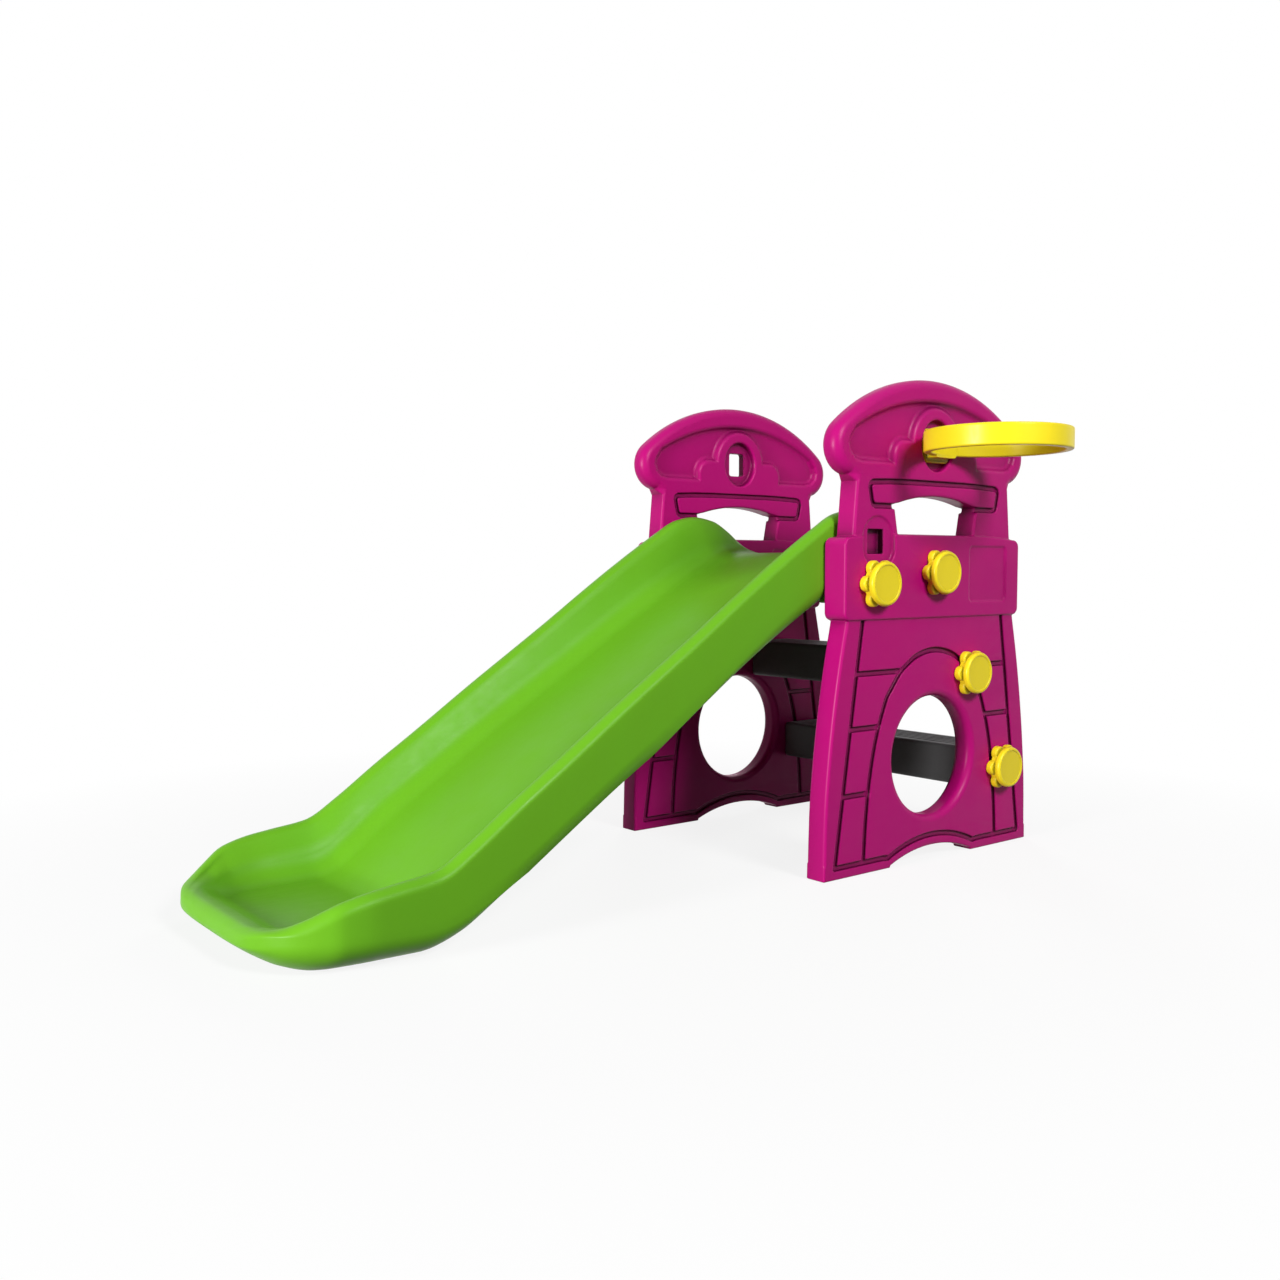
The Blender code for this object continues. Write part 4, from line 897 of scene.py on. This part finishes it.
def add_steps():
    lip_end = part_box("chute")[1].x + GAP
    for name in ("top_step", "middle_step", "lower_step"):
        low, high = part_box(name)
        samples = Samples(low, high, STEP_CELL)
        knob = KNOBS[name + "_left_knob"]["pos_m"]
        values = step_field(samples, low, high, knob, lip_end if name == "top_step" else None)
        mesh = moulded_mesh(name + "_moulding", samples, values, STEP_KEEP)
        piece(name + "_moulding", mesh, STEP_PLASTIC, "frame", name)


# Chute


def bow(x):
    """How far the long slope bulges upwards from a straight line."""
    return eased([(CHUTE_NOSE, 0.0), (-1.06, 0.0), (-0.92, BOW), (-0.79, BOW), (-0.52, 0.0), (0.1, 0.0)], x)


def straight_bed(x):
    """Height of the bed where the long slope is straight."""
    return SLOPE_FOOT_Z + CHUTE_SLOPE * (x - SLOPE_FOOT)


def bed_height(x):
    """Height of the bed along the middle, from the nose's raised edge to the platform."""
    start, end = -1.030, -0.170
    return bow(x) + eased(
        [
            (CHUTE_NOSE, 0.040),
            (CHUTE_NOSE + 0.006, 0.052),
            (CHUTE_NOSE + 0.019, 0.060),
            (CHUTE_NOSE + 0.038, 0.0575),
            (CHUTE_NOSE + 0.057, 0.048),
            (CHUTE_NOSE + 0.079, 0.040),
            (-1.100, 0.040),
            (SLOPE_FOOT, SLOPE_FOOT_Z),
            (start, straight_bed(start)),
            (end, straight_bed(end)),
            (-0.140, 0.6080),
            (-0.105, PLATFORM_TOP),
            (0.020, PLATFORM_TOP),
        ],
        x,
    )


def rim_height(x):
    """Height of the side walls' round rims."""
    start, end = -1.030, -0.270
    return bow(x) + eased(
        [
            (CHUTE_NOSE, 0.041),
            (CHUTE_NOSE + 0.006, 0.0535),
            (CHUTE_NOSE + 0.019, 0.0625),
            (CHUTE_NOSE + 0.038, 0.0680),
            (CHUTE_NOSE + 0.068, 0.0830),
            (-1.235, 0.1045),
            (-1.190, 0.1150),
            (-1.150, 0.1205),
            (-1.085, 0.1290),
            (start, 0.131 + RIM_SLOPE * (start + 1.070)),
            (end, 0.128 + RIM_SLOPE * (end + 1.070)),
            (-0.215, 0.6870),
            (-0.165, 0.6950),
            (-0.116, 0.6880),
            (-0.073, 0.6670),
            (-0.028, 0.6350),
            (LIP_END, PLATFORM_TOP + 0.0030),
        ],
        x,
    )


def wall_edge(x):
    """Height where the outer wall starts to turn under."""
    start, end = -1.000, -0.270
    return bow(x) + eased(
        [
            (CHUTE_NOSE, 0.038),
            (CHUTE_NOSE + 0.032, 0.046),
            (-1.240, 0.050),
            (-1.100, 0.046),
            (start, 0.050 + EDGE_SLOPE * (start + 1.030)),
            (end, 0.052 + EDGE_SLOPE * (end + 1.030)),
            (-0.150, 0.600),
            (LIP_END, 0.605),
        ],
        x,
    )


def under_height(x):
    """Height of the underside along the middle."""
    start, end = -0.960, -0.200
    return bow(x) + eased(
        [
            (CHUTE_NOSE, 0.034),
            (CHUTE_NOSE + 0.017, 0.023),
            (CHUTE_NOSE + 0.045, 0.009),
            (CHUTE_NOSE + 0.085, 0.0),
            (-1.105, 0.0),
            (-1.045, 0.018),
            (start, straight_bed(start) - BED_THICK),
            (end, straight_bed(end) - BED_THICK),
            (-0.120, PLATFORM_TOP - BED_THICK),
            (0.020, PLATFORM_TOP - BED_THICK),
        ],
        x,
    )


def chute_half_width(x):
    """Half of the chute's width over its outer walls."""
    return eased(
        [
            (CHUTE_NOSE, 0.095),
            (CHUTE_NOSE + 0.0025, 0.128),
            (CHUTE_NOSE + 0.011, 0.160),
            (CHUTE_NOSE + 0.025, 0.188),
            (CHUTE_NOSE + 0.048, 0.217),
            (CHUTE_NOSE + 0.077, 0.239),
            (CHUTE_NOSE + 0.108, 0.254),
            (-1.180, 0.260),
            (-0.900, 0.258),
            (-0.320, CHUTE_HALF - LUG_PROUD),
            (LIP_END, CHUTE_HALF - LUG_PROUD),
        ],
        x,
    )


def chute_section(x):
    """One half of the chute's cross-section, from the middle of the underside to the middle of the bed.

    It goes along the underside, round the lower edge, up the outer wall, over the rim and down to the bed.
    """
    wide = chute_half_width(x)
    bed = bed_height(x)
    rim = rim_height(x)
    under = under_height(x)
    edge = max(wall_edge(x), under + 0.001)
    turn = eased(UNDER_TURN, x)
    tall = max(rim - bed, 0.0005)
    drop = min(RIM_HALF_THICK, 0.45 * tall + 0.002, 0.6 * (rim - edge))
    fillet = min(BED_FILLET, 0.5 * tall)
    half = [((wide - turn) * share, under) for share in (0.0, 0.3, 0.6, 0.85)]
    for i in range(13):
        t = math.radians(90 * i / 12)
        half.append((wide - turn + turn * math.sin(t), edge - (edge - under) * math.cos(t)))
    top_wide = wide - WALL_LEAN
    inner_drop = min(drop, 0.45 * tall)
    low_rim = rim - drop
    for share in (0.25, 0.5, 0.75):
        half.append((wide + (top_wide - wide) * share, edge + (low_rim - edge) * share))
    for i in range(19):
        t = math.radians(RIM_TURN * i / 18)
        y = top_wide - RIM_HALF_THICK + RIM_HALF_THICK * math.cos(t)
        fall = drop if t < math.pi / 2 else inner_drop
        half.append((y, rim - fall * (1 - math.sin(t))))
    inner = half[-1]
    foot = top_wide - 2 * RIM_HALF_THICK - eased(INNER_LEAN, x)
    start = np.array([foot + 0.002, bed + fillet])
    half += [tuple(np.array(inner) * (1 - share) + start * share) for share in (0.3, 0.65)]
    corner = np.array([foot - min(BED_FILLET_CORNER, 0.1 * foot), bed + 0.02 * fillet])
    end = np.array([foot - min(BED_FILLET_END, 0.5 * foot), bed])
    for t in np.linspace(0, 1, 11):
        spot = start * (1 - t) ** 2 + 2 * corner * t * (1 - t) + end * t * t
        half.append((float(spot[0]), float(spot[1])))
    half += [(float(end[0]) * share, bed) for share in (0.75, 0.5, 0.25, 0.0)]
    return half


def chute_stations():
    """Where along X a cross-section is taken, close together at the nose and in the bends."""
    nose = [CHUTE_NOSE + 0.185 * (i / 34) ** 2 for i in range(35)]
    bend = list(np.arange(-1.150, -0.880, 0.010))
    slope = list(np.arange(-0.860, -0.300, 0.030))
    top = list(np.arange(-0.290, LIP_END - 0.002, 0.008))
    cut = [TOP_STEP_FRONT - GAP - 0.0002, TOP_STEP_FRONT - GAP]
    return sorted(nose + bend + slope + top + cut + [LIP_END])


def chute_rings():
    """Cross-sections along the chute. Over the top step only the thin lip is left."""
    lip_low = PLATFORM_TOP - LIP_THICK + GAP
    rings = []
    for x in chute_stations():
        half = chute_section(x)
        whole = half + [(-y, z) for y, z in reversed(half[1:-1])]
        if x > TOP_STEP_FRONT - GAP - 0.0001:
            whole = [(y, max(z, lip_low)) for y, z in whole]
        rings.append([(x + SLIDE_X, y + SLIDE_Y, z) for y, z in whole])
    return rings


def chute_shell():
    """The chute's closed skin, drawn over its cross-sections."""
    rings = chute_rings()
    count = len(rings[0])
    vertices = np.array(rings).reshape(-1, 3)
    faces = []
    for ring in range(len(rings) - 1):
        for k in range(count):
            first = ring * count + k
            after = ring * count + (k + 1) % count
            faces.append([first, after, after + count, first + count])
    last = (len(rings) - 1) * count
    faces.append(list(range(count - 1, -1, -1)))
    faces.append(list(range(last, last + count)))
    mesh = bpy.data.meshes.new("chute_moulding")
    mesh.from_pydata(vertices.tolist(), [], faces)
    return mesh


def lug_values(samples, side, knob):
    """The lug that takes a knob's socket, under the rim at one side."""
    x, y, z = samples.x, samples.y, samples.z
    outer = SLIDE_Y + side * CHUTE_HALF
    out = side * (y - outer)
    centre_z = (LUG_LOW + LUG_TOP) / 2
    section = inside_box(x - knob[0], z - centre_z, LUG_HALF, (LUG_TOP - LUG_LOW) / 2, LUG_ROUND)
    solid = both(section, between(out, -LUG_DEEP, 0), LUG_ROUND / 2)
    from_axis = np.hypot(x - knob[0], z - knob[2])
    return without(solid, socket_seat(from_axis, -out), SOCKET_SEAT_ROUND)


def add_chute():
    """The chute's skin and its two lugs, which all stand for one CAD node."""
    shell = chute_shell()
    shell.shade_smooth()
    moulding = piece("chute_moulding", shell, CHUTE_PLASTIC, "frame", "chute")
    welding = moulding.modifiers.new("Weld", "WELD")
    welding.merge_threshold = 0.00001
    for hand, side in (("left", -1), ("right", 1)):
        knob = KNOBS[f"chute_{hand}_knob"]["pos_m"]
        outer = SLIDE_Y + side * CHUTE_HALF
        ends = sorted((outer, outer - side * LUG_DEEP))
        low = (knob[0] - LUG_HALF, ends[0], LUG_LOW)
        high = (knob[0] + LUG_HALF, ends[1], LUG_TOP)
        samples = Samples(low, high, STEP_CELL)
        name = f"chute_{hand}_lug"
        mesh = moulded_mesh(name, samples, lug_values(samples, side, knob), LUG_KEEP)
        piece(name, mesh, CHUTE_PLASTIC, "frame", "chute")


# Knobs and sockets


def knob_mesh():
    """Screw knob about its seat, with the hand grip towards plus Y and the thread towards minus Y."""
    reach = LOBE_REACH + 0.001
    samples = Samples((-reach, -SHANK_END, -reach), (reach, KNOB_REACH, reach), KNOB_CELL)
    x, y, z = samples.x, samples.y, samples.z
    from_axis = np.hypot(x, z)
    flower = from_axis - KNOB_CORE
    for i in range(KNOB_LOBES):
        turn = 2 * math.pi * i / KNOB_LOBES
        ring = LOBE_REACH - LOBE_RADIUS
        lobe = np.hypot(x - ring * math.cos(turn), z - ring * math.sin(turn)) - LOBE_RADIUS
        flower = either(flower, lobe, LOBE_FILLET)
    flange = both(flower, between(y, 0, KNOB_FLANGE_THICK), KNOB_FLANGE_ROUND)
    disc = between(y, KNOB_DISC_LOW, KNOB_REACH)
    disc = both(from_axis - KNOB_DISC_RADIUS, disc, KNOB_DISC_ROUND)
    waist = between(y, 0.004, KNOB_REACH - 0.006)
    waist = np.maximum(from_axis - KNOB_DISC_RADIUS + KNOB_WAIST_IN, waist)
    grip = either(either(flange, waist, KNOB_FILLET), disc, KNOB_DISC_FILLET)
    face = np.maximum(from_axis - KNOB_FACE_RADIUS, KNOB_REACH - KNOB_FACE_DEPTH - y)
    grip = without(grip, face, KNOB_FACE_ROUND)

    wound = (np.arctan2(z, x) / (2 * math.pi) + y / THREAD_PITCH) % 1.0
    ridge = 0.5 - 0.5 * np.cos(2 * math.pi * wound)
    faded = np.clip((-THREAD_START - y) / 0.006, 0, 1) * np.clip((y + SHANK_END - 0.001) / 0.004, 0, 1)
    radius = THREAD_ROOT + (THREAD_RADIUS - THREAD_ROOT) * ridge * faded
    shank = both(0.8 * (from_axis - radius), between(y, -SHANK_END, 0.004), SHANK_ROUND)
    return moulded_mesh("screw_knob", samples, either(grip, shank, KNOB_FILLET), KNOB_KEEP)


def socket_mesh():
    """Pressed-in nut, turned about Y with its mouth at zero."""
    profile = [
        (BORE, -0.0006),
        (BORE + 0.0006, 0.0),
        (SOCKET_COLLAR_RADIUS - 0.0004, 0.0),
        (SOCKET_COLLAR_RADIUS, -0.0004),
        (SOCKET_COLLAR_RADIUS, -SOCKET_COLLAR_THICK),
        (SOCKET_RADIUS, -SOCKET_COLLAR_THICK),
        (SOCKET_RADIUS, -SOCKET_LONG + 0.0008),
        (SOCKET_RADIUS - 0.0008, -SOCKET_LONG),
        (0.0, -SOCKET_LONG),
        (0.0, -SOCKET_BORE_LONG),
        (BORE, -SOCKET_BORE_LONG),
    ]
    sides = SOCKET_SIDES
    turns = 2 * np.pi * np.arange(sides) / sides
    vertices = [(r * np.cos(t), y, r * np.sin(t)) for r, y in profile for t in turns]
    faces = []
    for ring in range(len(profile)):
        after = (ring + 1) % len(profile)
        for k in range(sides):
            beside = (k + 1) % sides
            quad = [ring * sides + k, after * sides + k, after * sides + beside, ring * sides + beside]
            faces.append(quad)
    mesh = bpy.data.meshes.new("threaded_socket")
    mesh.from_pydata([tuple(map(float, vertex)) for vertex in vertices], [], faces)
    mesh.validate()
    mesh.shade_smooth()
    mesh.set_sharp_from_angle(angle=math.radians(40))
    return mesh


def add_knobs():
    knob = knob_mesh()
    socket = socket_mesh()
    for name, joint in KNOBS.items():
        side = joint["axis"][1]
        seat = joint["pos_m"]
        turn = 0.0 if side > 0 else math.pi
        piece(name + "_moulding", knob, KNOB_PLASTIC, name, name, seat, turn)
        nut = name.replace("_knob", "_socket")
        low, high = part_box(nut)
        place = (seat[0], high.y if side > 0 else low.y, seat[2])
        piece(nut + "_moulding", socket, SOCKET_PLASTIC, "frame", nut, place, turn)


# Ball hoop


def hoop_mesh():
    """Ring, mounting plate and tongue in one piece, about the middle of the slot.

    The ring reaches out towards minus Y.
    """
    seat = OVAL_WALL / 2 + GAP
    centre = BODY_HALF + HOOP_FACE_GAP + HOOP_RADIUS
    tongue_end = OVAL_WALL / 2 + HOOP_TONGUE_REACH
    low = (-HOOP_RADIUS, -centre - HOOP_RADIUS, -HOOP_PLATE_HALF_TALL)
    samples = Samples(low, (HOOP_RADIUS, tongue_end, HOOP_PLATE_HALF_TALL), HOOP_CELL)
    x, y, z = samples.x, samples.y, samples.z
    out = -y
    from_axis = np.hypot(x, out - centre)
    wall = np.abs(from_axis - HOOP_RADIUS + HOOP_WALL / 2) - HOOP_WALL / 2
    ring = both(wall, np.abs(z) - HOOP_HALF_TALL, HOOP_ROUND)
    section = inside_box(x, z, HOOP_PLATE_HALF, HOOP_PLATE_HALF_TALL, HOOP_PLATE_CORNER)
    plate = both(section, between(out, seat, seat + HOOP_PLATE_THICK), HOOP_PLATE_ROUND)
    near = centre - math.sqrt((HOOP_RADIUS - HOOP_WALL) ** 2 - HOOP_NECK_HALF**2)
    tall = HOOP_HALF_TALL - 0.001
    section = inside_box(x, z - HOOP_NECK_Z, HOOP_NECK_HALF, tall, HOOP_NECK_CORNER)
    neck = both(section, between(out, seat + 0.004, near + 0.002), HOOP_NECK_ROUND)
    neck = np.maximum(neck, HOOP_RADIUS - HOOP_WALL - from_axis)
    half = SLOT_HALF - HOOP_TONGUE_CLEAR
    tall = SLOT_HALF_TALL - HOOP_TONGUE_CLEAR
    section = inside_box(x, z, half, tall, SLOT_CORNER)
    tongue = both(section, between(out, -tongue_end, seat + 0.004), HOOP_TONGUE_ROUND)
    mount = either(plate, tongue, 0.0004)
    hoop = either(either(ring, neck, HOOP_FILLET), mount, HOOP_FILLET)
    return moulded_mesh("ball_hoop_moulding", samples, hoop, HOOP_KEEP)


def add_hoop():
    place = (SLIDE_X, middle("left_side_panel").y, middle("ball_hoop").z)
    piece("ball_hoop_moulding", hoop_mesh(), HOOP_PLASTIC, "ball_hoop", "ball_hoop", place)


# Studio


def shown_white(tree):
    """Whether the camera, or a mirror or glass that it looks at, sees this directly."""
    path = node(tree, "ShaderNodeLightPath").outputs
    shown = joined(tree, path["Is Camera Ray"], path["Is Glossy Ray"], "MAXIMUM")
    return joined(tree, shown, path["Is Transmission Ray"], "MAXIMUM")


def light_world():
    """White where it is seen, and a faint soft light from all round elsewhere."""
    world = bpy.data.worlds.new("studio_air")
    world.use_nodes = True
    tree = world.node_tree
    soft = tree.nodes["Background"]
    soft.inputs["Color"].default_value = (0.97, 0.98, 1.0, 1.0)
    soft.inputs["Strength"].default_value = AIR_LIGHT
    white = node(tree, "ShaderNodeBackground")
    white.inputs["Color"].default_value = (1.0, 1.0, 1.0, 1.0)
    white.inputs["Strength"].default_value = 1.0
    air = mixed(tree, shown_white(tree), soft.outputs["Background"], white.outputs["Background"])
    tree.links.new(air, tree.nodes["World Output"].inputs["Surface"])
    bpy.context.scene.world = world


def add_floor():
    """A pale floor that keeps the slide's soft shadow and runs out to white."""
    mesh = bpy.data.meshes.new("studio_floor")
    corners = [(x * FLOOR_REACH, y * FLOOR_REACH, 0) for x, y in ((-1, -1), (1, -1), (1, 1), (-1, 1))]
    mesh.from_pydata(corners, [], [(0, 1, 2, 3)])
    floor = bpy.data.objects.new("studio_floor", mesh)
    floor.location = (0, 0, -FLOOR_DROP)
    bpy.context.scene.collection.objects.link(floor)

    material = bpy.data.materials.new("pale_floor")
    material.use_nodes = True
    tree = material.node_tree
    ground = tree.nodes["Principled BSDF"]
    shown = shown_white(tree)
    tint = spread(tree, shown, FLOOR_BOUNCE, FLOOR_SHOWN, 0.0, 1.0)
    tree.links.new(tint, ground.inputs["Base Color"])
    ground.inputs["Roughness"].default_value = 0.9
    ground.inputs["Specular IOR Level"].default_value = 0.0
    white = node(tree, "ShaderNodeEmission")
    distance = node(tree, "ShaderNodeVectorMath", operation="LENGTH")
    tree.links.new(node(tree, "ShaderNodeTexCoord").outputs["Object"], distance.inputs[0])
    away = spread(tree, distance.outputs["Value"], FLOOR_NEAR_WHITE, 1.0, FLOOR_NEAR, FLOOR_FAR)
    share = joined(tree, away, shown, "MULTIPLY")
    surface = mixed(tree, share, ground.outputs["BSDF"], white.outputs["Emission"])
    tree.links.new(surface, tree.nodes["Material Output"].inputs["Surface"])
    mesh.materials.append(material)


def add_lamp(name, place, size, power, shows_in_gloss=True):
    """A round soft lamp that is aimed at the slide."""
    data = bpy.data.lights.new(name, "AREA")
    data.shape = "DISK"
    data.size = size
    data.energy = power
    lamp = bpy.data.objects.new(name, data)
    bpy.context.scene.collection.objects.link(lamp)
    lamp.location = place
    lamp.rotation_euler = (Vector(LAMP_AIM) - Vector(place)).to_track_quat("-Z", "Y").to_euler()
    lamp.visible_glossy = shows_in_gloss


def add_camera():
    data = bpy.data.cameras.new("photo_camera")
    data.lens = CAMERA_LENS
    data.sensor_width = CAMERA_SENSOR
    camera = bpy.data.objects.new("photo_camera", data)
    camera.location = (CAMERA_PLACE[0] + SLIDE_X, CAMERA_PLACE[1] + SLIDE_Y, CAMERA_PLACE[2])
    camera.rotation_euler = (math.radians(90 + CAMERA_PITCH), 0, math.radians(-CAMERA_YAW))
    bpy.context.scene.collection.objects.link(camera)
    bpy.context.scene.camera = camera


add_camera()
add_panels()
add_chute()
add_steps()
add_knobs()
add_hoop()
light_world()
add_floor()
add_lamp("side_lamp", SIDE_LAMP_PLACE, SIDE_LAMP_SIZE, SIDE_LAMP_POWER)
add_lamp("front_lamp", FRONT_LAMP_PLACE, FRONT_LAMP_SIZE, FRONT_LAMP_POWER)
add_lamp("back_lamp", BACK_LAMP_PLACE, BACK_LAMP_SIZE, BACK_LAMP_POWER, shows_in_gloss=False)
bpy.context.scene.view_settings.view_transform = "Standard"
